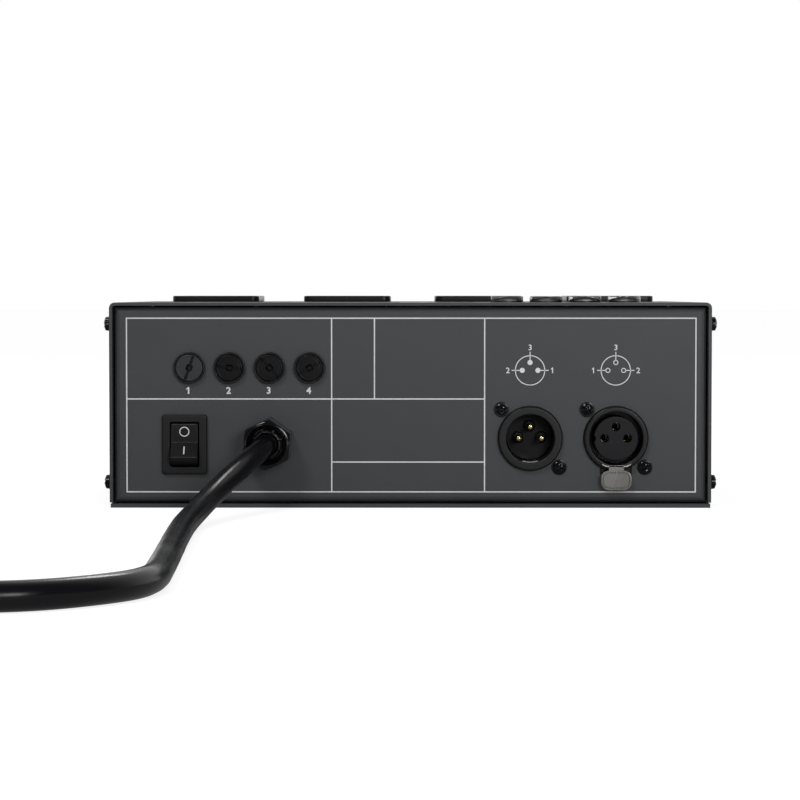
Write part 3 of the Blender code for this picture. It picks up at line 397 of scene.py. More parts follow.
def soft_box(name, place, size, watts, aim=(0.0, 0.0, 0.04)):
    """A square area lamp that faces its aim."""
    lamp = bpy.data.lights.new(name, "AREA")
    lamp.shape, lamp.size, lamp.energy = "SQUARE", size, watts
    box = bpy.data.objects.new(name, lamp)
    box.location = place
    box.rotation_euler = facing(np.array(aim) - np.array(place))
    bpy.context.scene.collection.objects.link(box)


FAR_EDGE = 12.0
paper = bpy.data.meshes.new("floor")
floor_corners = [(x * FAR_EDGE, y * FAR_EDGE, 0.0) for x, y in ((-1, -1), (1, -1), (1, 1), (-1, 1))]
paper.from_pydata(floor_corners, [], [(0, 1, 2, 3)])
paper.materials.append(white_floor(glow=0.82, albedo=0.36, table=0.15))
floor = bpy.data.objects.new("floor", paper)
bpy.context.scene.collection.objects.link(floor)

world = bpy.data.worlds.new("studio")
world.use_nodes = True
bpy.context.scene.world = world
sky = world.node_tree.nodes["Background"]
sky.inputs["Color"].default_value = (1.0, 1.0, 1.0, 1.0)
strength = studio_level(world.node_tree, plain=0.46, dark=0.08)
world.node_tree.links.new(strength, sky.inputs["Strength"])

soft_box("key", (-0.45, -1.15, 1.00), size=0.34, watts=6.0)
soft_box("fill", (0.42, -1.35, 0.35), size=0.34, watts=4.4)
soft_box("back", (0.20, 1.05, 1.30), size=0.40, watts=5.0)

# %% [markdown]
# ## Finishes
# Almost everything here is dark: powder-coated steel, moulded plastic, rubber. What tells them
# apart is how they scatter light. Each finish therefore starts from one colour, roughness and metal
# value, and then gets a grain: noise in the object's own coordinates that moves the colour and the
# roughness a little and raises small bumps. A painted texture would show the same at one distance,
# but the grain stays sharp from any.


# %% A finish and its grain
def finish(name, colour, roughness, metallic=0.0, sockets=()):
    """A surface of one colour. sockets holds more settings of the shader, by the names that they
    have there."""
    made = bpy.data.materials.new(name)
    made.use_nodes = True
    shader = made.node_tree.nodes["Principled BSDF"]
    shader.inputs["Base Color"].default_value = (*colour, 1.0)
    shader.inputs["Roughness"].default_value = roughness
    shader.inputs["Metallic"].default_value = metallic
    for socket, value in dict(sockets).items():
        shader.inputs[socket].default_value = value
    return made


def noise(tree, size, stretch=(1.0, 1.0, 1.0), detail=3.0):
    """Noise whose lumps are about size metres across, drawn out along an axis by a number below
    one."""
    where = tree.nodes.new("ShaderNodeTexCoord")
    scale = tree.nodes.new("ShaderNodeMapping")
    scale.inputs["Scale"].default_value = stretch
    lumps = tree.nodes.new("ShaderNodeTexNoise")
    lumps.inputs["Scale"].default_value = 1.0 / size
    lumps.inputs["Detail"].default_value = detail
    tree.links.new(where.outputs["Object"], scale.inputs["Vector"])
    tree.links.new(scale.outputs["Vector"], lumps.inputs["Vector"])
    return lumps.outputs["Fac"]


def raised(tree, value, height, strength=1.0):
    """A bump as high as height metres where the value is one, on the shader's normal, over any bump
    before it."""
    shader = tree.nodes["Principled BSDF"]
    bump = tree.nodes.new("ShaderNodeBump")
    bump.inputs["Distance"].default_value = height
    bump.inputs["Strength"].default_value = strength
    tree.links.new(value, bump.inputs["Height"])
    for link in shader.inputs["Normal"].links:
        tree.links.new(link.from_socket, bump.inputs["Normal"])
    tree.links.new(bump.outputs["Normal"], shader.inputs["Normal"])


def shaded(tree, value, colours):
    """The base colour goes from the first colour to the second as the value goes from zero to
    one."""
    mix = tree.nodes.new("ShaderNodeMix")
    mix.data_type = "RGBA"
    mix.inputs["A"].default_value = (*colours[0], 1.0)
    mix.inputs["B"].default_value = (*colours[1], 1.0)
    tree.links.new(value, mix.inputs["Factor"])
    tree.links.new(mix.outputs["Result"], tree.nodes["Principled BSDF"].inputs["Base Color"])
    return mix


def grain(made, size, height, tone=0.12, gloss=0.10, patch=0.02, stretch=(1.0, 1.0, 1.0)):
    """Fine bumps of one size, and wider patches where the colour and the roughness drift by the
    given shares."""
    tree = made.node_tree
    shader = tree.nodes["Principled BSDF"]
    colour = shader.inputs["Base Color"].default_value[:3]
    rough = shader.inputs["Roughness"].default_value
    fine = noise(tree, size, stretch)
    wide = noise(tree, patch, stretch, detail=2.0)
    dark, light = [tuple(c * (1 + side * tone) for c in colour) for side in (-1, 1)]
    shaded(tree, between(tree, wide, 0.0, 1.0), (dark, light))
    drift = between(tree, wide, rough * (1 - gloss), rough * (1 + gloss))
    tree.links.new(drift, shader.inputs["Roughness"])
    raised(tree, fine, height)
    return made


# %% [markdown]
# The case is powder-coated: the powder melts into a satin skin with faint pits about half a
# millimetre apart. The plastics are smoother and differ most in gloss, from the gland's nylon,
# which mirrors the lamps, to the dull frame of the switch. The screws are glossy black, and the
# nickel is drawn, so its grain is stretched along one axis. Blacks that still looked grey have less
# specular level, because a real black surface that is rough mirrors little.

# %% The finishes
DULL, MILD = {"Specular IOR Level": 0.2}, {"Specular IOR Level": 0.35}
PAINT = grain(finish("powder_coat", (0.0400, 0.0425, 0.0455), 0.52),
              0.00045, 0.000018, tone=0.05, gloss=0.08)
PLASTIC = grain(finish("black_plastic", (0.006, 0.006, 0.007), 0.30, sockets=MILD), 0.0006, 0.000006)
GLOSSY = grain(finish("glossy_nylon", (0.003, 0.003, 0.0035), 0.10), 0.0016, 0.000006)
MATT = grain(finish("matt_plastic", (0.007, 0.007, 0.008), 0.50, sockets=MILD), 0.0005, 0.000010)
CAPS = grain(finish("cap_black", (0.003, 0.003, 0.0035), 0.34, sockets=DULL), 0.0006, 0.000008)
DARK = grain(finish("deep_black", (0.003, 0.003, 0.003), 0.45, sockets=DULL), 0.0005, 0.000006)
SHEATH = grain(finish("cord_sheath", (0.004, 0.004, 0.005), 0.22, sockets=DULL),
               0.0030, 0.000030, gloss=0.2)
BLACKED = grain(finish("blackened_steel", (0.003, 0.003, 0.003), 0.10, sockets=MILD), 0.0003, 0.000008)
SATIN = grain(finish("satin_black_metal", (0.007, 0.0075, 0.008), 0.36, sockets=MILD), 0.0004, 0.000006)
INSERT = grain(finish("socket_insert", (0.010, 0.010, 0.012), 0.50, sockets=DULL), 0.0005, 0.000008)
NICKEL = grain(finish("nickel", (0.33, 0.32, 0.30), 0.28, 1.0), 0.0004, 0.000030, stretch=(1, 1, 0.3))
SPRING = grain(finish("spring_steel", (0.80, 0.79, 0.76), 0.22, 1.0), 0.0004, 0.000004, tone=0.06)
GOLD = grain(finish("gold_plate", (0.80, 0.64, 0.36), 0.12, 1.0), 0.0002, 0.000003, tone=0.05)
BRASS = grain(finish("brass", (0.60, 0.46, 0.25), 0.30, 1.0), 0.0003, 0.000004, tone=0.08)
CLEAR = finish("clear_cap", (0.80, 0.81, 0.82), 0.12,
               sockets={"Transmission Weight": 1.0, "IOR": 1.49, "Specular IOR Level": 0.2})
raised(CLEAR.node_tree, noise(CLEAR.node_tree, 0.0030), 0.000004)
PRINT = grain(finish("white_print", (0.64, 0.64, 0.65), 0.55), 0.0003, 0.000004, tone=0.06)
print("finishes:", len(bpy.data.materials))

# %% [markdown]
# ## The mains lead
# The lead leaves the gland, sinks to the floor and runs towards the reader, out of the photograph.
# A pack like this has about 1.8 m of lead, so what the photograph doesn't show is wound into a coil
# beyond the picture's edge, three turns side by side with the rest nested on top. The lead could be
# a Blender curve with a round bevel. A tube worked out here costs no more, and lets the sheath show
# the lay of the cores inside.


# %% The lead's line
def smooth_line(points, spacing):
    """A Catmull-Rom curve. Between b and c, with a before and d after, a place at t is half of 2b +
    (c - a) t + (2a - 5b + 4c - d) t^2 + (3b - a - 3c + d) t^3."""
    line = np.asarray(points, float)
    line = np.concatenate([[2 * line[0] - line[1]], line, [2 * line[-1] - line[-2]]])
    fine = []
    for a, b, c, d in zip(line, line[1:], line[2:], line[3:]):
        count = max(1, round(float(np.linalg.norm(c - b)) / spacing))
        t = np.linspace(0, 1, count, endpoint=False)[:, None]
        fine.append(0.5 * (2 * b + (c - a) * t + (2 * a - 5 * b + 4 * c - d) * t ** 2
                           + (3 * b - a - 3 * c + d) * t ** 3))
    return np.concatenate([*fine, line[-2:-1]])


def distances(line):
    """How far along the line each of its points lies."""
    return np.concatenate([[0], np.cumsum(np.linalg.norm(np.diff(line, axis=0), axis=1))])


def even(line, spacing):
    """The same line with its points an even distance apart."""
    far = distances(line)
    steps = np.linspace(0, far[-1], round(far[-1] / spacing) + 1)
    return np.stack([np.interp(steps, far, column) for column in line.T], -1)


def relaxed(line, start, end, times):
    """The line with the points from start to end moved, a few times over, to (before + 2 own +
    after) / 4."""
    line = line.copy()
    for _ in range(times):
        line[start:end] = (line[start - 1:end - 1] + 2 * line[start:end] + line[start + 1:end + 1]) / 4
    return line


CORD = 0.0084
LAID = CORD / 2 + 0.0001
CORD_ROUTE = [
    (0.0000, 0.0078, 0.0252), (0.0000, 0.0150, 0.0252), (-0.0012, 0.0240, 0.0241),
    (-0.0050, 0.0345, 0.0211), (-0.0104, 0.0470, 0.0160), (-0.0159, 0.0598, 0.0110),
    (-0.0199, 0.0745, 0.0069), (-0.0218, 0.0915, 0.0047), (-0.0222, 0.1130, LAID),
    (-0.0214, 0.1450, LAID), (-0.0201, 0.1800, LAID), (-0.0184, 0.2200, LAID),
    (-0.0168, 0.2600, LAID), (-0.0163, 0.2869, LAID), (-0.0195, 0.3030, LAID),
    (-0.0275, 0.3160, LAID), (-0.0385, 0.3262, LAID), (-0.0512, 0.3324, LAID),
    (-0.0659, 0.3344, LAID), (-0.0825, 0.3344, LAID), (-0.1007, 0.3344, LAID),
]
laid = [(GLAND[0] + across, PANEL_Y - out, up) for across, out, up in CORD_ROUTE]
print("laid length:", round(float(distances(smooth_line(laid, 0.002))[-1]), 3), "m")

# %% [markdown]
# A hand-wound coil isn't a spiral. Each turn is a circle for most of its way, and steps in by one
# diameter within a short stretch. So the radius is a row of values joined by smooth steps, and so
# is the height, where the lead climbs onto the first layer and comes to rest in the groove between
# two turns.

# %% The coil
COIL = np.array([-0.1900, -0.3545])
COIL_RADII = (0.0589, 0.0505, 0.0421, 0.0463, 0.0547)
COIL_TURNS = 4.25
STEP_IN = 0.17  # of a turn
NEST = CORD * math.sqrt(0.75)
TIE_WIDE, TIE_THICK = 0.0120, 0.0010
TIE_HUMP = 32  # degrees either side of the tie
PLUG_NECK, PLUG_LEVEL = -0.3019, 0.0157
TAIL, INTO_PLUG, RISE = 0.0526, 0.018, 0.045


def eased(t):
    """Zero below 0, one above 1, and 3t^2 - 2t^3 between."""
    t = np.clip(t, 0, 1)
    return t * t * (3 - 2 * t)


def coil_line():
    """At turn t the angle is 270 degrees less the whole turns, the radius is the first of
    COIL_RADII plus an eased step at each whole turn, and the height steps up by the nest at the
    third. The tie lifts it a little."""
    t = np.linspace(0, COIL_TURNS, 460)
    angle = math.radians(270) - 2 * math.pi * t
    steps = [eased((t - k) / STEP_IN) for k in range(1, 5)]
    radius = COIL_RADII[0] + sum(s * (b - a) for s, a, b in zip(steps, COIL_RADII, COIL_RADII[1:]))
    off_tie = (np.degrees(angle) - 90 + 180) % 360 - 180
    height = LAID + NEST * steps[2] + (TIE_THICK + 0.0003) * np.exp(-(off_tie / TIE_HUMP) ** 2)
    return np.stack([COIL[0] + radius * np.cos(angle), COIL[1] + radius * np.sin(angle), height], -1)


coil = coil_line()
x, y, z = coil[-1]
ahead = np.linspace(0.006, TAIL + INTO_PLUG, 14)
tail = np.stack([np.full(len(ahead), x), y + ahead, z + (PLUG_LEVEL - z) * eased(ahead / RISE)], -1)
whole = np.concatenate([smooth_line(laid, 0.003)[:-1], coil[4:], tail])
cord_line = relaxed(even(whole, 0.003), start=6, end=60, times=30)
print("lead:", round(float(distances(cord_line)[-1]), 3), "m in", len(cord_line), "points")

# %% [markdown]
# A tube is a circle carried along the line. At each point the circle stands square to the line's
# direction, with one of its axes level, which works because the lead never stands upright. The
# radius swells by half a percent three times round, and that pattern twists along the lead as the
# three cores do inside the sheath.


# %% The lead's skin
def tube(line, radius, sides=20, lay=0.09, swell=0.005):
    """Points line + r (side cos a + up sin a), where side is the line's direction crossed with Z,
    up is side crossed with the direction, and r = radius (1 + swell cos 3(a - 2 pi s / lay)) at
    distance s along the line."""
    along = np.gradient(line, axis=0)
    along /= np.linalg.norm(along, axis=1)[:, None]
    side = np.cross(along, (0.0, 0.0, 1.0))
    side /= np.linalg.norm(side, axis=1)[:, None]
    up = np.cross(side, along)
    s = distances(line)[:, None]
    a = full_turn(sides)
    r = (radius * (1 + swell * np.cos(3 * (a - 2 * math.pi * s / lay))))[..., None]
    a = a[:, None]
    return line[:, None] + r * (side[:, None] * np.cos(a) + up[:, None] * np.sin(a))


lead = put("mains_lead", [shell(tube(cord_line, CORD / 2))], SHEATH,
           stands_for=("power_cord", "power_cord_coil", "power_cord_tail"))

# %% [markdown]
# ## The plug and the tie
# The lead ends in a moulded plug with three flat blades, two of them slanted, to suit the outlets
# on top. Its body is a row of squared ovals that grow from the round neck to the broad face, and
# rings are pressed into the neck so that it bends evenly. A hook-and-loop strap goes round the coil
# and ends on top of itself.


# %% Plug
PLUG_X = COIL[0] - COIL_RADII[-1]
# Each section is how far it lies from the neck, half across, half up, and how round: 1 is an oval,
# less is squarer.
PLUG_SECTIONS = [
    (0.0000, 0.0060, 0.0060, 1.00), (0.0080, 0.0064, 0.0064, 1.00), (0.0160, 0.0071, 0.0071, 1.00),
    (0.0205, 0.0080, 0.0079, 1.00), (0.0275, 0.0111, 0.0101, 0.92), (0.0335, 0.0139, 0.0122, 0.82),
    (0.0397, 0.0161, 0.0139, 0.74), (0.0450, 0.0175, 0.0151, 0.72), (0.0490, 0.0180, 0.0155, 0.72),
    (0.0528, 0.0180, 0.0155, 0.72),
]
PLUG_FACE, FACE_RIM = 0.0540, 0.0012
RIB_PITCH, RIB_DEEP = 0.0034, 0.0005
BLADES = [(0.00685, -0.00395, -30), (-0.00685, -0.00395, 30), (0.0, 0.0103, 0)]


def on_plug(points):
    """Out runs along +Y from the neck, up is up, and across is towards -X, so that nothing is
    mirrored."""
    across, up, out = spread(points)
    return np.stack([PLUG_X - across, PLUG_NECK + out, PLUG_LEVEL + up], -1)


def plug_body(sides=56):
    """At s along the plug and a round it: across = w |cos a|^p, up = h |sin a|^p with the signs of
    cos and sin. Five rings are pressed 0.5 mm into the neck where cos(2 pi s / 3.4 mm) is above
    zero, and the face has a round rim."""
    controls = np.array(PLUG_SECTIONS)
    s = np.linspace(0, PLUG_SECTIONS[-1][0], 90)
    wide, tall, power = (np.interp(s, controls[:, 0], controls[:, k]) for k in (1, 2, 3))
    soften = np.ones(7) / 7
    wide, tall, power = (np.convolve(np.pad(row, 3, "edge"), soften, "valid")
                         for row in (wide, tall, power))
    ribbed = (s > 0.002) & (s < 0.0187)
    ring = RIB_DEEP * np.clip(np.cos(2 * math.pi * (s - RIB_PITCH) / RIB_PITCH), 0, 1) * ribbed
    rim = np.linspace(0.15, 1, 5) * math.pi / 2
    s = np.concatenate([s, PLUG_FACE - FACE_RIM * (1 - np.sin(rim))])
    wide = np.concatenate([wide - ring, wide[-1] - FACE_RIM * (1 - np.cos(rim))])
    tall = np.concatenate([tall - ring, tall[-1] - FACE_RIM * (1 - np.cos(rim))])
    power = np.concatenate([power, np.full(len(rim), power[-1])])
    a = full_turn(sides)
    squared = [np.sign(f(a)) * np.abs(f(a)) ** power[:, None] for f in (np.cos, np.sin)]
    across, up = wide[:, None] * squared[0], tall[:, None] * squared[1]
    return np.stack([across, up, np.repeat(s[:, None], sides, 1)], -1)


plug = put("plug_body", [shell(on_plug(plug_body()))], SHEATH, stands_for=("mains_plug",))
blade = plate(0.0016, 0.0063, 0.0007, PLUG_FACE - 0.002, PLUG_FACE + 0.0168, edge=0.0005)
turned_blades = [shell(on_plug(moved(turned(blade, angle), x, y))) for x, y, angle in BLADES]
blades = put("plug_blades", turned_blades, BRASS)


# %% Strap round the coil
def strap(path, wide, thick):
    """A rounded section carried along a line in the YZ plane: X is the section's across, and the
    rest is the line's point plus the line's left-hand normal times the section's up."""
    line = rounded(path, steps=6)
    along = np.gradient(line, axis=0)
    along /= np.linalg.norm(along, axis=1)[:, None]
    left = np.stack([-along[:, 1], along[:, 0]], -1)
    across, up = box_outline(wide, thick, thick * 0.45, 3).T
    flat = line[:, None] + left[:, None] * up[:, None]
    x = np.broadcast_to(COIL[0] + across[None, :, None], (*flat.shape[:2], 1))
    return np.concatenate([x, flat], -1)


TIE_PATH = [(-0.3045, 0.01797, 0), (-0.3184, 0.01797, 0.0030), (-0.3184, 0.0006, 0.0030),
            (-0.2906, 0.0006, 0.0030), (-0.2906, 0.0190, 0.0035), (-0.3130, 0.0190, 0)]
tie = put("coil_strap", [shell(strap(TIE_PATH, TIE_WIDE, TIE_THICK))], MATT,
          stands_for=("cord_tie",))

# %% [markdown]
# ## Fuse holders
# Each channel has its own fuse, in a black moulded tube through the panel. A thin rim stands out in
# front, the barrel behind carries a thread, and a ring nut on it pinches the panel. All of it is
# round, so it is one profile of radius and distance out, carried once round. Cutting a real helix
# into the barrel would cost thousands of faces for something that only shows through the vents, so
# the thread is a row of plain ridges.


# %% Fuse holders
RIM, BARREL, BORE, RECESS, SEAT = 0.0061, 0.0049, 0.0038, 0.0055, 0.0006


def ridges(radius, start, end, pitch, deep):
    """Corners of a thread's section: going in by half a pitch, the radius is less by deep at every
    second one."""
    out = np.arange(start, end, -pitch / 2)
    return [(radius - deep * (i % 2), float(z), 0) for i, z in enumerate(out)]


holder = rounded([
    (RECESS, 0.0020, 0.00012), (RIM, 0.0020, 0.00024), (RIM, HAIR, 0), (BARREL, HAIR, 0),
    (BARREL, -0.0015, 0), (RIM, -0.0015, 0.0003), (RIM, -0.0045, 0.0003), (BARREL, -0.0045, 0),
    *ridges(BARREL, -0.0050, -0.0130, 0.0010, 0.0003), (BARREL, -0.0300, 0.0004), (BORE, -0.0300, 0),
    (BORE, SEAT, 0.0002), (RECESS, SEAT, 0),
], steps=4, closed=True)
for k, place in enumerate(FUSES, start=1):
    put(f"holder_{k}", [shell(on_rear(lathe(holder, 56), place), loop=True)], PLASTIC,
        stands_for=(f"fuse_holder_{k}",))
lug = moved(plate(0.0010, 0.0030, 0.0004, -0.0370, -0.0290, edge=0.0003), 0.00435)
put("fuse_lugs", [shell(on_rear(lug, place)) for place in FUSES], BRASS)

# %% [markdown]
# ## Fuse caps
# A cap is a disc with a screwdriver slot across it and a dimple in the middle, and its skirt grips
# the fuse. The slot could be cut with a boolean, but then the faces round it would be long slivers
# that shade badly. Here the face is a height over a grid whose columns run along the slot, so that
# its sides fall exactly between columns.


# %% A disc with a modelled face
def faced(radius, low, across, height, along=41):
    """The column at across x runs over the disc along its chord, y = t sqrt(radius^2 - x^2) with t
    from -1 to 1, and back underneath at the low level. Above, the points stand height(x, y) out."""
    x = np.asarray(across, float)[:, None]
    t = np.sin(np.linspace(-1, 1, along) * math.pi / 2)
    y = np.sqrt(np.clip(radius ** 2 - x ** 2, 0, None)) * t
    x = np.broadcast_to(x, y.shape)
    over = np.stack([x, y, height(x, y)], -1)
    under = np.stack([x, y, np.full(y.shape, low)], -1)[:, ::-1]
    return np.concatenate([over, under], axis=1)


def columns(radius, edges, count=27, wall=0.00005):
    """Places across a disc, closer towards its sides, with a pair of them either side of each edge
    of a slot."""
    even_ones = radius * np.sin(np.linspace(-1, 1, count) * math.pi / 2)
    pairs = [e + d for e in edges for d in (-wall, wall)]
    kept = [x for x in even_ones if min(abs(x - e) for e in edges) > 2 * wall]
    return np.sort(np.array(kept + pairs))


def rim_drop(r, radius, rim):
    """How far a quarter-round rim has fallen at distance r from the middle. It is rim - sqrt(rim^2
    - d^2), where d is how far r lies inside the rim's band."""
    d = np.clip(r - (radius - rim), 0, rim)
    return rim - np.sqrt(rim ** 2 - d ** 2)


CAP, CAP_OUT = RECESS - GAP, 0.0023
SLOT_HALF, SLOT_END, SLOT_DEEP = 0.00050, 0.0045, 0.0011


def cap_face(x, y):
    """The face's own level, less the rim's drop, a shallow ring at 4.2 mm, and the deeper of the
    slot and the dimple."""
    r = np.hypot(x, y)
    ring = 0.00008 * np.exp(-((r - 0.0042) / 0.00022) ** 2)
    slot = SLOT_DEEP * (np.abs(x) < SLOT_HALF) * (1 - eased((np.abs(y) - SLOT_END) / 0.0002))
    dimple = 0.0015 * (1 - eased((r - 0.00110) / 0.00012))
    return CAP_OUT - rim_drop(r, CAP, 0.00045) - ring - np.maximum(slot, dimple)


def grimed(tree, face):
    """Painted shade in a recess: mixes black into the base colour where the object's Y lies 0.2 mm or
    more behind the face, fully at 0.6 mm."""
    place, parts = added(tree, "TexCoord", "SeparateXYZ")
    tree.links.new(place.outputs["Object"], parts.inputs["Vector"])
    depth = between(tree, parts.outputs["Y"], 0.0, 1.0, face + 0.0002, face + 0.0006)
    plain = tree.nodes["Principled BSDF"].inputs["Base Color"].links[0].from_socket
    mix = shaded(tree, depth, ((0, 0, 0), (0.0008, 0.0008, 0.0008)))
    tree.links.new(plain, mix.inputs["A"])


CAP_TILTS = (19, 97, 138, 62)
FADED = grain(finish("faded_plastic", (0.024, 0.025, 0.026), 0.34, sockets=MILD),
              0.0006, 0.000008, tone=0.15)
# Painted shade: the faded cap's colour turns black wherever it lies deeper than its face, most in the
# slot and the dimple.
grimed(FADED.node_tree, PANEL_Y - CAP_OUT)
skirt = lathe([(0.0029, SEAT), (0.0034, SEAT), (0.0034, -0.0060), (0.0029, -0.0060)], 40)
disc = faced(CAP, SEAT + GAP, columns(CAP, (-SLOT_HALF, SLOT_HALF)), cap_face)
for k, (place, tilt) in enumerate(zip(FUSES, CAP_TILTS), start=1):
    shells = [shell(on_rear(turned(disc, -tilt), place)), shell(on_rear(skirt, place), loop=True)]
    put(f"cap_{k}", shells, FADED if k == 1 else CAPS, f"fuse_cap_{k}",
        stands_for=(f"fuse_cap_{k}",), sharp=30)

# %% [markdown]
# ## Cartridge fuses
# Behind each cap lies a glass tube with a metal end on either side and a fine wire between them. It
# shows only when a cap has been turned and drawn out, so a simple one does: the ends are rounded
# cylinders, and the glass is a tube with a real wall, because light has to enter and leave it
# twice.

# %% Cartridges
GLASS = finish("fuse_glass", (0.94, 0.97, 0.96), 0.03,
               sockets={"Transmission Weight": 1.0, "IOR": 1.48})
raised(GLASS.node_tree, noise(GLASS.node_tree, 0.0020), 0.00001)
NOSE, FAR = 0.0004, -0.0196
WIRE = 0.00012
ends = [rounded([(0, b, 0), (0.0026, b, 0.0004), (0.0026, a, 0.0002), (0, a, 0)], 3)
        for a, b in ((NOSE - 0.0052, NOSE), (FAR, FAR + 0.0052))]
wall = [(0.0022, FAR + 0.0050), (0.0022, NOSE - 0.0050),
        (0.0018, NOSE - 0.0050), (0.0018, FAR + 0.0050)]
wire = [(0, NOSE - 0.0045), (WIRE, NOSE - 0.0045), (WIRE, FAR + 0.0045), (0, FAR + 0.0045)]
for k, place in enumerate(FUSES, start=1):
    put(f"fuse_glass_{k}", [shell(on_rear(lathe(wall, 32), place), loop=True)], GLASS, f"fuse_{k}",
        stands_for=(f"fuse_{k}",))
    metal = [shell(on_rear(lathe(profile, 32), place)) for profile in (*ends, wire)]
    put(f"fuse_ends_{k}", metal, NICKEL, f"fuse_{k}")

# %% [markdown]
# ## Rocker switch
# The switch is a moulded frame that snaps into the panel, with a rocker hung in its mouth. The
# rocker's face is a wide V, and here its top is pressed in, so the lower half stands out of the
# frame. Its section is drawn once from the side, with an arc at each end that clears the frame as
# it swings, and carried across with rounded ends.

# %% Switch frame
FRAME_OUT, MOUTH = (0.0175, 0.0231), (0.0113, 0.0174)
BODY, MOUTH_FLOOR = (0.0131, 0.0192), -0.0062


def framed(outer, mouth, body, proud, floor, edge=0.0006, lip=0.0002):
    """A ring's section walked all the way round as (outline, out): up the outside, over a
    quarter-round rim, down the mouth to the floor, out to the body, and back up to the panel."""
    rim = [(box_outline(outer[0] - 2 * s, outer[1] - 2 * s, 0.0010), proud - e)
           for s, e in quarter(edge)]
    inner = [(box_outline(mouth[0] + 2 * s, mouth[1] + 2 * s, 0.0006), proud - e)
             for e, s in quarter(lip)]
    around = box_outline(*body, 0.0006)
    return stacked([(box_outline(*outer, 0.0010), HAIR), *rim, *inner,
                    (box_outline(*mouth, 0.0006), floor), (around, floor), (around, HAIR)])


bezel = shell(on_rear(framed(FRAME_OUT, MOUTH, BODY, 0.0020, MOUTH_FLOOR), SWITCH), loop=True)
block = plate(*BODY, 0.0008, -0.0170, -0.0064, edge=0.0003)
put("switch_bezel", [bezel, shell(on_rear(block, SWITCH))], MATT,
    stands_for=("switch_frame",))
tag = plate(0.0048, 0.0008, 0.0003, -0.0258, -0.0165, edge=0.0002)
tags = [moved(tag, i * 0.0032, j * 0.0048) for i in (-1, 1) for j in (-1, 1)]
put("switch_tags", [shell(on_rear(t, SWITCH)) for t in tags], BRASS)

# %% [markdown]
# The rocker's own two marks are O and I, printed on its middle line. They are thin raised shapes on
# the sloping faces, so they tilt with the rocker in every pose.


# %% Rocker
def drawn_in(outline, distance):
    """A closed anticlockwise outline moved inwards along the mean of the normals of each point's
    two edges."""
    before = outline - np.roll(outline, 1, axis=0)
    after = np.roll(outline, -1, axis=0) - outline
    before /= np.linalg.norm(before, axis=1)[:, None]
    after /= np.linalg.norm(after, axis=1)[:, None]
    mean = before + after
    mean /= np.linalg.norm(mean, axis=1)[:, None]
    return outline + distance * np.stack([-mean[:, 1], mean[:, 0]], -1)


AXIS_OUT, SWING, LEAN = -0.0005, 0.00847, 18.0
TIP, VALLEY = (0.0068, 0.00505), (0.0, 0.0029)


def leant(points):
    """Points drawn about the rocker's axis, tipped so that the top goes in: up' = up cos a + out
    sin a and out' = out cos a - up sin a, and then moved to where the axis is."""
    a = math.radians(LEAN)
    c, s = math.cos(a), math.sin(a)
    across, up, out = spread(points)
    return np.stack([across, up * c + out * s, AXIS_OUT + out * c - up * s], -1)


def swept(start, end, count):
    """Points of the arc that clears the frame, between two angles in degrees from straight up."""
    a = np.radians(np.linspace(start, end, count))
    return [(SWING * float(np.cos(t)), SWING * float(np.sin(t)), 0) for t in a]


section = rounded([
    (*VALLEY, 0.0005), (-TIP[0], TIP[1], 0.0006), *swept(149, 190, 7), (-0.0040, -0.0042, 0.0005),
    (0.0040, -0.0042, 0.0005), *swept(-10, 31, 7), (*TIP, 0.0006),
], steps=6, closed=True)
KEY_HALF, KEY_EDGE = 0.00535, 0.00045
cuts = [(drawn_in(section, s), KEY_HALF - e) for s, e in quarter(KEY_EDGE)][::-1]
cuts += [(outline, -level) for outline, level in cuts[::-1]]
rocker = stacked(cuts)[..., [2, 0, 1]]
put("rocker_key", [shell(on_rear(leant(rocker), SWITCH))], PLASTIC, "rocker",
    stands_for=("rocker",))


def on_face(points, half):
    """Points drawn flat on the upper face (half 1) or the lower (half -1), from the valley's line:
    across stays, up runs along the face's slope, and out stands square on it."""
    slope = np.array([TIP[0], TIP[1] - VALLEY[1]])
    run, rise = slope / np.linalg.norm(slope)
    across, up, out = spread(points)
    out_now = VALLEY[1] + half * up * rise + out * run
    return np.stack([across, up * run - half * out * rise, out_now], -1)


SUNK, RAISED = -0.00003, 0.00007
ring = lathe([(0.00158, SUNK), (0.00192, SUNK), (0.00192, RAISED), (0.00158, RAISED)], 48)
bar = plate(0.00045, 0.0035, 0.0001, SUNK, RAISED, edge=0.00003)
marks = [shell(on_rear(leant(on_face(moved(ring, up=0.0041), 1)), SWITCH), loop=True),
         shell(on_rear(leant(on_face(moved(bar, up=-0.0037), -1)), SWITCH))]
put("rocker_marks", marks, PRINT, "rocker")

# %% [markdown]
# ## Cable gland
# The lead passes a gland: a hexagon against the panel, a domed nut screwed over it, and fingers
# inside that close on the cord as the nut is tightened. A spanner grips the nut's six flats, and a
# turned dome cuts their front corners, so each flat ends in a curve. Both limits are functions of
# the angle, and the surface follows whichever is nearer to the axis, with a little blending where
# they meet. A boolean of two solids would leave that edge hard.


# %% Hexagons with turned ends
def flat_distance(a, flats, turn_by=25.0):
    """From the axis to a hexagon's side along angle a: half the flats over the cosine of the angle
    that is left to the nearest side's middle. The corners are turned by the given degrees."""
    left = (a - math.radians(turn_by)) % (math.pi / 3) - math.pi / 6
    return flats / 2 / np.cos(left)


def nearer(one, other, blend):
    """The smaller of two distances, blended where they are alike: -blend ln(e^(-one / blend) +
    e^(-other / blend))."""
    return -blend * np.log(np.exp(-one / blend) + np.exp(-other / blend))


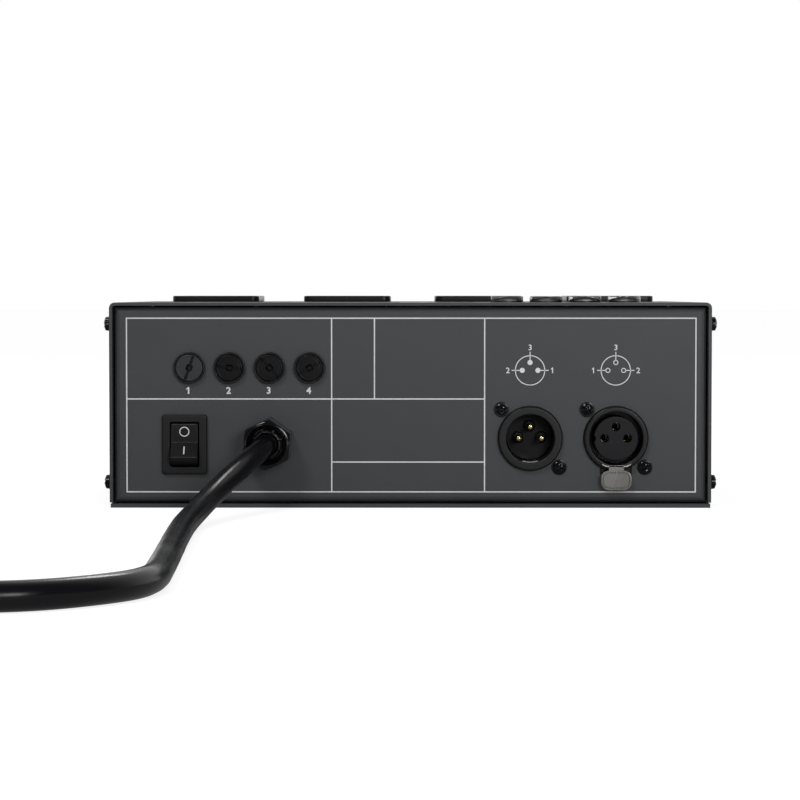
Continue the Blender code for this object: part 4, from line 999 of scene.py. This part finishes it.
def hexagonal(outside, inside, flats, blend=0.00022, sides=144):
    """A ring whose outside profile is limited by a hexagon, and whose inside profile is round. Both
    are lists of (radius, out), and together they go once round the section."""
    a = full_turn(sides)
    limit, out = np.array(list(outside) + list(inside), float).T
    r = np.repeat(limit[:, None], sides, axis=1)
    count = len(outside)
    r[:count] = nearer(r[:count], flat_distance(a, flats)[None, :], blend)
    return np.stack([r * np.cos(a), r * np.sin(a), np.repeat(out[:, None], sides, axis=1)], -1)


FLATS = 0.0176
bend = np.linspace(0, math.pi / 2, 12)
dome = np.c_[0.0080 + 0.0026 * np.cos(bend) ** 0.9, 0.0137 + 0.0046 * np.sin(bend) ** 0.9]
nut_outside = [(0.0092, 0.0048), (0.0099, 0.0052), (0.0106, 0.0058), *dome, (0.0079, 0.01847),
               (0.0078, 0.01850)]
nut_inside = [(0.0076, 0.01842), (0.0066, 0.0168), (0.0061, 0.0150), (0.0079, 0.0137), (0.0079, 0.0048)]
put("nut", [shell(on_rear(hexagonal(nut_outside, nut_inside, FLATS), GLAND), loop=True)], GLOSSY,
    stands_for=("gland_nut",), sharp=44)
foot = hexagonal([(0.0098, HAIR), (0.0106, 0.0005), (0.0106, 0.0040), (0.0096, 0.0045)],
                 [(0.0080, 0.0045), (0.0080, HAIR)], FLATS)
stub = rounded([(0.0048, 0.0115, 0), (0.0076, 0.0115, 0.0004),
                *ridges(0.0076, 0.0110, -0.0100, 0.0015, 0.0004), (0.0048, -0.0100, 0)], closed=True)
put("gland_foot", [shell(on_rear(hexa, GLAND), loop=True) for hexa in (foot, lathe(stub, 56))], GLOSSY,
    stands_for=("gland_body",))

# %% [markdown]
# The fingers are eight wedges of softer plastic. Each is a small section swept through a few
# degrees, with a narrow slit to the next, and their outsides slope in towards the cord at the
# front.

# %% Gland fingers
FINGERS, SLIT, FIRST_SLIT = 8, 7.0, 20
finger = rounded([(0.0045, 0.0122, 0), (0.0059, 0.0122, 0), (0.0059, 0.0148, 0.0004),
                  (0.0051, 0.0160, 0.0004), (0.0045, 0.0160, 0.0002)], steps=3, closed=True)


def wedge(section, start, end, steps=6):
    """The section of (radius, out) points swept from one angle to another, both in degrees."""
    a = np.radians(np.linspace(start, end, steps))[:, None]
    r, out = section.T
    return np.stack([r * np.cos(a), r * np.sin(a), np.broadcast_to(out, (steps, len(out)))], -1)


slits = [k * 360 / FINGERS for k in range(FINGERS + 1)]
spans = [(a + SLIT / 2 + FIRST_SLIT, b - SLIT / 2 + FIRST_SLIT) for a, b in zip(slits, slits[1:])]
GRIP = grain(finish("gland_fingers", (0.012, 0.012, 0.013), 0.25), 0.0005, 0.000008)
put("gland_fingers", [shell(on_rear(wedge(finger, a, b), GLAND)) for a, b in spans], GRIP,
    stands_for=("gland_claws",))

# %% [markdown]
# ## Data sockets
# Light data comes in by a male socket, whose three gold pins stand in a deep cup, and goes on by a
# female one, whose round insert has three holes and a groove round it. Both are die-cast shells
# that pass through the panel, with a flange behind it. Each shell is one turned profile, and the
# flange is a rounded plate with the shell's hole in it.

# %% Socket shells
RING, SHELL, CUP, GROOVE = 0.0124, 0.01153, 0.0093, 0.0103


def socket_shell(bore):
    """The shell's section of (radius, out): a ring with a rounded lip in front of the panel, a body
    behind it, and a bore that ends 12.5 mm deep, before a closed back."""
    return rounded([(0, -0.0200, 0), (SHELL, -0.0200, 0.0008), (SHELL, HAIR, 0), (RING, HAIR, 0),
                    (RING, 0.0025, 0.0006), (bore, 0.0025, 0.0005), (bore, -0.0125, 0),
                    (0, -0.0125, 0)])


def flange(wide, tall, corner, hole, low, high):
    """A plate with a round hole: the outside is a rounded rectangle with its points at even steps,
    and the inside is a circle with its points at the same angles."""
    outline = box_outline(wide, tall, corner, 10)
    outline = even(np.concatenate([outline, outline[:1]]), 0.0008)[:-1]
    a = np.arctan2(outline[:, 1], outline[:, 0])
    circle = hole * np.stack([np.cos(a), np.sin(a)], -1)
    return stacked([(outline, low), (outline, high), (circle, high), (circle, low)])


ears = flange(0.0260, 0.0310, 0.0020, SHELL - 0.0002, -0.0035, -0.0015)
CAST = grain(finish("cast_black", (0.006, 0.006, 0.007), 0.28, sockets=MILD), 0.0004, 0.000006)
for way, bore, place, made in (("in", CUP, DATA_IN, SATIN), ("out", GROOVE, DATA_OUT, CAST)):
    barrel = shell(on_rear(lathe(socket_shell(bore), 96), place))
    put(f"data_{way}_shell", [barrel, shell(on_rear(ears, place), loop=True)], made,
        stands_for=(f"xlr_{way}_shell",))

# %% [markdown]
# The male insert is a plain disc at the bottom of the cup, with the pins moulded into it. Their
# ends are domed, and that is what glints in the photograph. Low in the cup lies the thin spring
# leaf that earths the plug's shell.

# %% Male insert, pins and leaf
CIRCLE, INSERT_R = 0.00445, 0.0090
PINS = [(-CIRCLE, 0.0), (CIRCLE, 0.0), (0.0, CIRCLE)]


def floor_face(x, y):
    """9.7 mm deep, with the rim's drop, and a collar 0.5 mm high round each pin."""
    rise = np.zeros_like(x)
    for px, py in PINS:
        rise += 0.0005 * (1 - eased((np.hypot(x - px, y - py) - 0.0019) / 0.0003))
    return -0.0097 + rise - rim_drop(np.hypot(x, y), INSERT_R, 0.0003)


floor_disc = faced(INSERT_R, -0.0124, columns(INSERT_R, (-0.0060, 0.0060), 61), floor_face, 61)
put("data_in_floor", [shell(on_rear(floor_disc, DATA_IN))], DARK,
    stands_for=("xlr_in_insert",))
pin = rounded([(0, -0.0110, 0), (0.0012, -0.0110, 0), (0.0012, 0.0005, 0.0009), (0, 0.0005, 0)], 8)
put("data_in_pins", [shell(on_rear(moved(lathe(pin, 28), *p), DATA_IN)) for p in PINS], GOLD)
leaf_part = np.array([(0.00905, -0.0070), (0.00925, -0.0070), (0.00925, 0.0012), (0.00905, 0.0012)])
put("data_in_leaf", [shell(on_rear(wedge(leaf_part, 252, 288, 14), DATA_IN))], SPRING)

# %% [markdown]
# The female insert needs holes with clean round edges in a flat face. A filled 2-D curve does this
# best: Blender fills the outline round the holes, gives it thickness and rounds every edge. It is
# made a mesh at once, and its points are carried to their place like any others.


# %% Plates with openings
def as_arrays(curve):
    """The points and the faces of a curve or a text, made a mesh, of which nothing else is kept."""
    drawn = bpy.data.objects.new("drawn", curve)
    mesh = bpy.data.meshes.new_from_object(drawn)
    points = np.empty(len(mesh.vertices) * 3)
    mesh.vertices.foreach_get("co", points)
    faces = [list(face.vertices) for face in mesh.polygons]
    for data, kind in ((drawn, bpy.data.objects), (mesh, bpy.data.meshes), (curve, bpy.data.curves)):
        kind.remove(data)
    return points.reshape(-1, 3), faces


def fretted(outer, holes, low, high, edge=0.0003):
    """A plate from low to high with openings, from closed outlines. The curve's fill makes the
    faces, half of the height is its extrusion, and its round bevel is drawn back by the edge so
    that the outline keeps its size."""
    curve = bpy.data.curves.new("fret", "CURVE")
    curve.dimensions, curve.fill_mode = "2D", "BOTH"
    curve.extrude = (high - low) / 2 - edge
    curve.bevel_depth, curve.bevel_resolution, curve.offset = edge, 2, -edge
    for outline in [outer, *holes]:
        line = curve.splines.new("POLY")
        line.points.add(len(outline) - 1)
        level, weight = np.zeros(len(outline)), np.ones(len(outline))
        line.points.foreach_set("co", np.c_[outline, level, weight].ravel())
        line.use_cyclic_u = True
    points, faces = as_arrays(curve)
    return moved(points, out=(high + low) / 2), faces


def circle(radius, across=0.0, up=0.0, steps=28):
    """A circle's points, anticlockwise."""
    a = full_turn(steps)
    return np.stack([across + radius * np.cos(a), up + radius * np.sin(a)], -1)


def at_rear(made, place):
    """A shell carried to its place on the rear panel."""
    return on_rear(made[0], place), made[1]


def notched(radius, half, deep, steps=90):
    """A circle with a notch cut in at its left: radius, less deep where the up part is within half
    of the middle."""
    outline = circle(radius, steps=steps)
    inside = (np.abs(outline[:, 1]) < half) & (outline[:, 0] < 0)
    outline[inside] *= (1 - deep / radius)
    return outline


HOLES = [circle(0.00160, x, y) for x, y in PINS]
FACE_IN = 0.0086
face = fretted(notched(FACE_IN, 0.0007, 0.0006), HOLES, -0.0090, 0.0013, 0.00035)
behind = lathe([(0, -0.0124), (FACE_IN, -0.0124), (FACE_IN, -0.0090), (0, -0.0090)], 60)
spot = lathe([(0.0009, 0.00125), (0.0011, 0.00125), (0.0011, 0.00140), (0.0009, 0.00140)], 32)
put("data_out_face", [at_rear(face, DATA_OUT), shell(on_rear(behind, DATA_OUT)),
                      shell(on_rear(moved(spot, up=-0.0046), DATA_OUT), loop=True)], INSERT,
    stands_for=("xlr_out_insert",))
sleeve = lathe([(0.00130, -0.00895), (0.00150, -0.00895), (0.00150, -0.0084), (0.00130, -0.0084)], 24)
sleeves = [shell(on_rear(moved(sleeve, x, y), DATA_OUT), loop=True) for x, y in PINS]
put("data_out_sleeves", sleeves, GOLD)

# %% [markdown]
# ## Latch
# A plug is held in the female socket by a spring plate under its ring, and freed by pressing a
# nickel tab below it. The plate shows edge-on as a thin bright line that curls up at both ends, a
# neck leads down from it, and the tab has a raised rim round a field. Only the front of the plate
# is modelled, because the rest of it runs inside the shell, where it would cut through the wall as
# the latch tips. All three ride on the latch's own body.


# %% Latch
def curled(wide, thick, steps=33, lift=0.0009):
    """The plate's section: its middle line is level, and over the outer fifth at each end it rises
    by lift, as the square of the way to the tip. The outline goes over it and back under it."""
    x = np.linspace(-wide / 2, wide / 2, steps)
    rise = lift * np.clip((np.abs(x) / (wide / 2) - 0.62) / 0.38, 0, 1) ** 2
    over = np.stack([x, rise + thick / 2], -1)[::-1]
    under = np.stack([x, rise - thick / 2], -1)
    return np.concatenate([over, under])


LATCH_UP = -0.0106
TAB_LOW, TAB_HIGH, TAB_WIDE = -0.0199, -0.0122, 0.0119
spring = moved(stacked([(curled(0.0112, 0.00045), out) for out in (0.0027, 0.0040)]), up=LATCH_UP)
neck = moved(plate(0.0060, 0.0028, 0.0004, 0.0034, 0.0040, 0.00015), up=-0.0116)


def tab(wide, tall, corner, low, high, rim=0.0008, sunk=0.00030):
    """A rounded plate whose face is sunk inside its rim. The outlines go from the middle of the
    back over the edge and the rim to the middle of the face."""
    edge = [(0.30, low + 0.00012), (0.0, low + 0.0003), (0.0, high - 0.0002), (0.14, high - 0.00004),
            (0.30, high)]
    shares = [(0.99, low)] + [(d * 0.00045 / min(wide, tall), out) for d, out in edge]
    made = [(box_outline(wide * (1 - s), tall * (1 - s), corner * (1 - s), 6), out)
            for s, out in shares]
    middle = min(wide, tall) / 2 - 0.0002
    for inset, out in ((rim, high), (rim + 0.00022, high - sunk), (middle, high - sunk)):
        corner_now = max(corner - inset, 0.00005)
        made.append((box_outline(wide - 2 * inset, tall - 2 * inset, corner_now, 6), out))
    return stacked(made)


thumb = moved(tab(TAB_WIDE, TAB_HIGH - TAB_LOW, 0.0030, 0.00335, 0.00405), up=(TAB_LOW + TAB_HIGH) / 2)
put("latch_spring", [shell(on_rear(spring, DATA_OUT))], SPRING, "xlr_out_latch")
put("latch", [shell(on_rear(part, DATA_OUT)) for part in (neck, thumb)], NICKEL, "xlr_out_latch",
    stands_for=("xlr_out_latch",))

# %% [markdown]
# ## Screws
# The sockets and the case are held by black pan-head screws with a cross recess. Recess and dome
# are one height over a grid again. It is a square grid whose outer rings are bent to circles, so
# that in the middle its lines run straight along the cross. The case's heads are larger and stand
# further out than the sockets'. Each is turned as the screwdriver happened to leave it.


# %% Screws
def round_grid(radius, straight=0.55, lines=41):
    """Points (p, q) of a square grid, brought from the square to the circle: each is scaled by s /
    length(p, q), blended in as its ring s, the larger of |p| and |q|, goes from straight to one."""
    t = np.linspace(-1, 1, lines)
    p, q = np.meshgrid(t, t, indexing="ij")
    s = np.maximum(np.abs(p), np.abs(q))
    length = np.maximum(np.hypot(p, q), 1e-9)
    scale = 1 + eased((s - straight) / (1 - straight)) * (s / length - 1)
    return radius * p * scale, radius * q * scale


FLANGE_AT, FLANGE_HIGH = 0.82, 0.30
RECESS_DEEP, WELL_DEEP = 0.62, 0.70


def head_face(x, y, radius, proud):
    """A flange up to 0.30 of the height outside 0.80 of the radius, a dome inside it, and a cross
    recess that gets shallower outwards: depth = 0.62 proud (1 - (d / reach)^2 / 2), where d is the
    distance along the arm. In the middle a small square well goes to 0.70 of the height."""
    r = np.hypot(x, y) / radius
    dome = proud * (1 - 0.30 * (r / FLANGE_AT) ** 2)
    flange_top = proud * FLANGE_HIGH - rim_drop(r * radius, radius, proud * 0.12)
    foot = flange_top + proud * 1.1 * np.sqrt(np.clip(FLANGE_AT - r, 0, 1) / 0.2)
    height = np.where(r < 0.80, np.minimum(dome, foot), flange_top)
    reach, half = 0.50 * radius, 0.13 * radius
    recess = np.zeros_like(x)
    for along, beside in ((x, y), (y, x)):
        arm = 1 - eased((np.abs(along) - reach) / (0.05 * radius))
        arm = arm * (1 - eased((np.abs(beside) - half) / (0.04 * radius)))
        slope = 1 - 0.5 * np.clip(along / reach, -1, 1) ** 2
        recess = np.maximum(recess, arm * RECESS_DEEP * proud * slope)
    square = np.abs(x) + np.abs(y) - 0.26 * radius
    well = WELL_DEEP * proud * (1 - eased(square / (0.05 * radius)))
    return height - np.maximum(recess, well)


def screw_head(radius, proud):
    """The face's grid, and the same grid flat at the panel, joined round their shared edge into one
    closed shell."""
    x, y = round_grid(radius, lines=49)
    over = np.stack([x, y, head_face(x, y, radius, proud)], -1)
    under = np.stack([x, y, np.full_like(x, HAIR)], -1)
    count = x.shape[0]
    faces = []
    for points, base in ((over, 0), (under, count * count)):
        i, j = np.meshgrid(np.arange(count - 1), np.arange(count - 1), indexing="ij")
        ring = [i * count + j, (i + 1) * count + j, (i + 1) * count + j + 1, i * count + j + 1]
        flat = np.stack(ring, -1).reshape(-1, 4) + base
        faces += (flat if base == 0 else flat[:, ::-1]).tolist()
    k, last = np.arange(count), count - 1
    border = [k * count, last * count + k[1:], k[:-1][::-1] * count + last, k[1:-1][::-1]]
    border = np.concatenate(border)
    after = np.roll(border, -1)
    faces += np.stack([border, border + count * count, after + count * count, after], -1).tolist()
    return np.concatenate([over.reshape(-1, 3), under.reshape(-1, 3)]), faces


def shank(radius, length):
    """A threaded shank behind the head, as a ridged profile."""
    thread = ridges(radius, -0.0004, -length + 0.0004, 0.0006, 0.00022)
    return lathe([(0, 0), (radius, 0), *[corner[:2] for corner in thread], (0, -length)], 20)


SCREW_OFF = 0.0112  # across and up from a socket's middle to its screws
CASE_SCREW_Y, CASE_SCREW_Z = 0.0730, (0.0095, 0.0712)
threaded = shank(radius=0.0014, length=0.0050)
points, faces = screw_head(radius=0.00295, proud=0.0019)
screws = []
for place, turns in ((DATA_IN, (12, 58)), (DATA_OUT, (71, 33))):
    for side, turn in zip((-1, 1), turns):
        spot = (place[0] + side * SCREW_OFF, place[1] - side * SCREW_OFF)
        screws += [(on_rear(turned(points, turn), spot), faces), shell(on_rear(threaded, spot))]
put("socket_screws", screws, BLACKED, sharp=32,
    stands_for=("xlr_in_screw_1", "xlr_in_screw_2", "xlr_out_screw_1", "xlr_out_screw_2"))

points, faces = screw_head(radius=0.00335, proud=0.0030)
screws = []
corners = [(side, end * CASE_SCREW_Y, z) for side in (-1, 1) for end in (-1, 1) for z in CASE_SCREW_Z]
for spot, turn in zip(corners, (20, 64, 41, 5, 77, 33, 15, 52)):
    screws += [(on_side(turned(points, turn), *spot), faces), shell(on_side(threaded, *spot))]
put("case_screws", screws, BLACKED, sharp=32,
    stands_for=tuple(f"case_screw_{k}" for k in range(1, 9)))

# %% [markdown]
# ## Outlets
# The four outlets on top take plugs with three flat blades, two of them slanted. Seen from behind
# they are only dark strips 2.5 mm high, but from above they are the pack's main feature. Each is a
# moulded frame with a core inside it, a hair's breadth lower. The slots lie where the plug's blades
# do, and go 18 mm down between brass contacts. Frame and core are plates with openings, as the
# female insert is.


# %% Outlets
def slot_line(across, up, degrees):
    """The outline of one slot, 2 by 7 mm with small corners, turned and moved to its place."""
    outline = box_outline(0.0020, 0.0070, 0.0004, 3)
    return moved(turned(np.c_[outline, np.zeros(len(outline))], degrees), across, up)[:, :2]


def tub(outer, inner, low, high):
    """A square pipe: the outside down and the inside back up, as one closed section."""
    big, small = box_outline(*outer, 0.0018), box_outline(*inner, 0.0012)
    return stacked([(big, high), (big, low), (small, low), (small, high)])


def at_top(made, place):
    """A shell carried to its place on the cover."""
    return on_top(made[0], place), made[1]


CORE = (0.0290, 0.0340)
TUB, TUB_FLOOR = (0.0320, 0.0360), -0.0181
opening = box_outline(CORE[0] + 0.0005, CORE[1] + 0.0005, 0.0020, 5)
frame_plate = fretted(box_outline(0.0357, 0.0440, 0.0030, 6), [opening], HAIR, 0.0025, 0.0005)
slots = [slot_line(*blade) for blade in BLADES]
core_plate = fretted(box_outline(*CORE, 0.0018, 5), slots, -0.0180, 0.0022, 0.00035)
bottom = plate(*TUB, 0.0018, -0.0240, TUB_FLOOR, edge=0.0006)
pipe = tub(TUB, (CORE[0] + 0.0004, CORE[1] + 0.0004), TUB_FLOOR, 0.0004)
for k, place in enumerate(OUTLETS, start=1):
    shells = [at_top(frame_plate, place), at_top(core_plate, place), shell(on_top(bottom, place)),
              shell(on_top(pipe, place), loop=True)]
    put(f"outlet_face_{k}", shells, PLASTIC, stands_for=(f"outlet_{k}",))
cheek = plate(0.0003, 0.0058, 0.0001, -0.0150, -0.0035, edge=0.00008)
cheeks = [moved(turned(moved(cheek, i * 0.00078), d), x, y) for x, y, d in BLADES for i in (-1, 1)]
put("outlet_contacts", [shell(on_top(c, place)) for place in OUTLETS for c in cheeks], BRASS)

# %% [markdown]
# ## Buttons
# Four buttons set the pack's address. Edge-on, each shows a dark lens with light corners. That is
# how a dark dome looks inside a clear cap, because the round clear side spreads the dome over the
# cap's whole width. So a button is a clear cap with a flat top, a dome inside it, and a stem that
# reaches the little switch on the board below.

# %% Buttons
CLEAR_R, DOME_R = 0.00645, 0.0050
clear_part = rounded([(0, 0.0024, 0), (CLEAR_R, 0.0024, 0.0003), (CLEAR_R, -0.0015, 0),
                      (0.00725, -0.0015, 0.0001), (0.00725, -0.0023, 0.0001), (0, -0.0023, 0)], steps=4)
r = np.linspace(0, DOME_R, 12)
dome_part = [*np.c_[r, 0.0021 - 0.0016 * (r / DOME_R) ** 2], (DOME_R, -0.0019), (0, -0.0019)]
stem = rounded([(0, -0.0024, 0), (0.0017, -0.0024, 0), (0.0017, -0.0076, 0.0004), (0, -0.0076, 0)])
for name, place in BUTTONS.items():
    put(f"cap_{name}", [shell(on_top(lathe(clear_part, 64), place))], CLEAR, f"button_{name}",
        stands_for=(f"button_{name}",))
    put(f"dome_{name}", [shell(on_top(lathe(part, 48), place)) for part in (dome_part, stem)], PLASTIC,
        f"button_{name}")

# %% [markdown]
# ## Display
# Beside the buttons a smoked window lies flush in the cover, over a display of three figures. They
# are unlit, so their seven bars are only a paler grey than the face round them. A bar is a hexagon,
# drawn long and thin, and seven of them, turned and moved, make a figure that leans a little.


# %% Display figures
def bar_outline(long, thick):
    """A bar lying across with pointed ends."""
    h = thick / 2
    end = long / 2
    return np.array([(end, 0), (end - h, h), (h - end, h), (-end, 0), (h - end, -h), (end - h, -h)])


def seven_bars(wide, tall, thick, low, high, lean=0.12):
    """Three level bars and four upright ones, with across' = across + lean * up."""
    half = tall / 2
    level = stacked([(bar_outline(wide - 0.0002, thick), out) for out in (low, high)])
    upright = turned(stacked([(bar_outline(half - 0.0002, thick), out) for out in (low, high)]), 90)
    bars = [moved(level, up=u) for u in (-half, 0, half)]
    bars += [moved(upright, x, u) for x in (-wide / 2, wide / 2) for u in (-half / 2, half / 2)]
    return [bar + bar[..., 1:2] * np.array([lean, 0.0, 0.0]) for bar in bars]


FACE, FIGURE_PITCH = -0.0021, 0.0072
INLAY = (FACE - 0.00005, FACE + 0.00006)
MODULE_FACE = grain(finish("display_face", (0.030, 0.030, 0.032), 0.5), 0.0004, 0.000004)
UNLIT = grain(finish("unlit_bars", (0.30, 0.29, 0.28), 0.6), 0.0003, 0.000003)
SMOKED = finish("smoked_window", (0.16, 0.15, 0.15), 0.06,
                sockets={"Transmission Weight": 1.0, "IOR": 1.49})
raised(SMOKED.node_tree, noise(SMOKED.node_tree, 0.0040), 0.000008)
box = plate(0.0228, 0.0138, 0.0006, -0.0093, FACE, edge=0.0003)
put("figures_block", [shell(on_top(box, DISPLAY))], MODULE_FACE,
    stands_for=("display_module",))
one_figure = seven_bars(0.0044, 0.0086, 0.0009, *INLAY)
point = moved(lathe([(0.0005, INLAY[0]), (0.0005, INLAY[1])], 20), 0.0033, -0.0045)
bars = [moved(bar, i * FIGURE_PITCH) for i in (-1, 0, 1) for bar in one_figure]
points = [moved(point, i * FIGURE_PITCH) for i in (-1, 0, 1)]
put("figures", [shell(on_top(part, DISPLAY)) for part in bars + points], UNLIT)
pane = plate(0.0294, 0.0144, 0.0006, -0.0016, 0.0, edge=0.0002)
put("window", [shell(on_top(pane, DISPLAY))], SMOKED,
    stands_for=("display_window",))

# %% [markdown]
# ## Printing on the rear panel
# The panel is screen-printed in pale grey: a frame of thin lines divides it into cells, the fuses
# are numbered, and two small drawings show which pin of each socket has which number. Print could
# be a picture on the paint, but then it blurs close up. Ink has some thickness, so it is modelled
# as plates 0.05 mm thick. The frame is one plate with seven openings, which leaves clean corners
# where its lines meet.

# %% Printed frame
LINE = 0.00048
LEFT, A, B, C, RIGHT = -0.1100, -0.0305, -0.0139, 0.0288, 0.1106
LOW, SHELF, MID, TOP = 0.0060, 0.0176, 0.0421, 0.0734
INK = 0.00001, 0.00006


def cell(x0, x1, z0, z1, grow):
    """A rectangle between two lines across and two up, grown on every side."""
    x0, x1, z0, z1 = x0 - grow, x1 + grow, z0 - grow, z1 + grow
    return np.array([(x1, z1), (x0, z1), (x0, z0), (x1, z0)])


openings = [(LEFT, A, MID, TOP), (A, B, MID, TOP), (B, C, MID, TOP), (LEFT, A, LOW, MID),
            (A, C, SHELF, MID), (A, C, LOW, SHELF), (C, RIGHT, LOW, TOP)]
openings = [cell(*opening, -LINE / 2) for opening in openings]
grid = fretted(cell(LEFT, RIGHT, LOW, TOP, LINE / 2), openings, *INK, edge=0.00001)
put("printed_frame", [at_rear(grid, (0.0, 0.0))], PRINT)

# %% [markdown]
# Figures come from Blender's own font. Each becomes a mesh straight away, is scaled to its height
# by its own box, and gets the ink's thickness.


# %% Printed figures
def one(tall, place, thick):
    """The figure 1 with its flag, which the font leaves off, as an outline in shares of its
    height."""
    right, left = thick / 2, -thick / 2
    outline = np.array([(right, -0.5), (right, 0.5), (right - 0.15, 0.5), (left - 0.20, 0.26),
                        (left - 0.20, 0.10), (left, 0.25), (left, -0.5)])
    return fretted(outline * tall + np.array(place), [], *INK, edge=0.00001)


def figure(text, tall, place, bold=0.0):
    """The text's outline, filled and made a mesh: points are taken from the middle of its box,
    times tall over the box's height, plus the place. The back and the front go to the two levels of
    the ink."""
    if text == "1":
        return one(tall, place, 0.15 + 2.4 * bold)
    letters = bpy.data.curves.new("figure", "FONT")
    letters.body, letters.extrude, letters.offset, letters.resolution_u = text, 0.02, bold, 6
    points, faces = as_arrays(letters)
    low, high = points.min(axis=0), points.max(axis=0)
    flat = (points[:, :2] - (low + high)[:2] / 2) * tall / (high[1] - low[1]) + np.array(place)
    return np.c_[flat, np.where(points[:, 2] > 0, INK[1], INK[0])], faces


NUMBERS_UP, NUMBER_TALL = 0.0454, 0.0027
numbers = [figure(str(k), NUMBER_TALL, (x - 0.0004, NUMBERS_UP), 0.028)
           for k, (x, _) in enumerate(FUSES, start=1)]
put("printed_numbers", [at_rear(number, (0.0, 0.0)) for number in numbers], PRINT)


# %% Drawings of the pins
DOT, TICK = 0.00305, 0.00036


def band(inner, outer):
    """A flat ring of ink."""
    return lathe([(inner, INK[0]), (outer, INK[0]), (outer, INK[1]), (inner, INK[1])], 64)


def tick(degrees, start=0.0041, end=0.0072):
    """A short line from the middle's side of the circle to its outside, along an angle."""
    line = plate(end - start, TICK, 0.00002, *INK, edge=0.00001, steps=1)
    return turned(moved(line, (start + end) / 2), degrees)


SPOTS = [(-DOT, 0.0), (DOT, 0.0), (0.0, DOT)]
LABELS_AT = [(-0.0086, 0.0), (0.0087, 0.0), (0.0, 0.0089)]
drawings = []
for centre, labels, filled in (((0.0464, 0.0532), "213", True), ((0.0796, 0.0532), "123", False)):
    mark = lathe([(0.00100, INK[0]), (0.00100, INK[1])], 32) if filled else band(0.00064, 0.00098)
    drawings.append(shell(on_rear(band(0.00552, 0.00586), centre), loop=True))
    drawings += [shell(on_rear(moved(mark, *spot), centre), loop=not filled) for spot in SPOTS]
    drawings += [shell(on_rear(tick(degrees), centre)) for degrees in (0, 90, 180)]
    drawings += [at_rear(figure(text, 0.0022, spot, 0.012), centre)
                 for text, spot in zip(labels, LABELS_AT)]
put("printed_pins", drawings, PRINT)

# %% [markdown]
# ## The solids that stay
# The cover, the base plate, the two panels, the gland's lock nut and what is inside need no new
# shape, so they keep their CAD meshes and only get finishes. The boards are green laminate with a
# faint grain, the heat sink is extruded aluminium with scratches drawn out along its length, and
# the transformer is a stack of steel sheets with a wound copper coil. They only glimmer through the
# vents, so a plain version of each is enough.

# %% Finishes inside the case
BOARD_GREEN = grain(finish("board_green", (0.020, 0.075, 0.035), 0.45), 0.0006, 0.000008, tone=0.2)
ALUMINIUM = grain(finish("aluminium", (0.62, 0.63, 0.64), 0.38, 1.0),
                  0.0004, 0.000008, stretch=(0.08, 1, 1))
SHEETS = grain(finish("core_sheets", (0.18, 0.18, 0.19), 0.45, 0.8),
               0.0008, 0.000030, tone=0.25, stretch=(0.05, 1, 1))
WOUND = grain(finish("winding", (0.50, 0.22, 0.09), 0.35, 0.7),
              0.0007, 0.000040, tone=0.2, stretch=(0.06, 1, 1))
STAYS = {
    "top_cover": PAINT, "base_plate": PAINT, "rear_panel": PAINT, "front_panel": PAINT,
    "gland_locknut": MATT, "main_board": BOARD_GREEN, "control_board": BOARD_GREEN,
    "heat_sink": ALUMINIUM, "transformer_core": SHEETS, "transformer_winding": WOUND,
}
for name, made in STAYS.items():
    slots = nodes[name].data.materials
    slots.clear()
    slots.append(made)
left_over = sorted(name for name, node in nodes.items() if not node.hide_render and name not in STAYS)
print("dressed:", len(STAYS), "left over:", left_over)
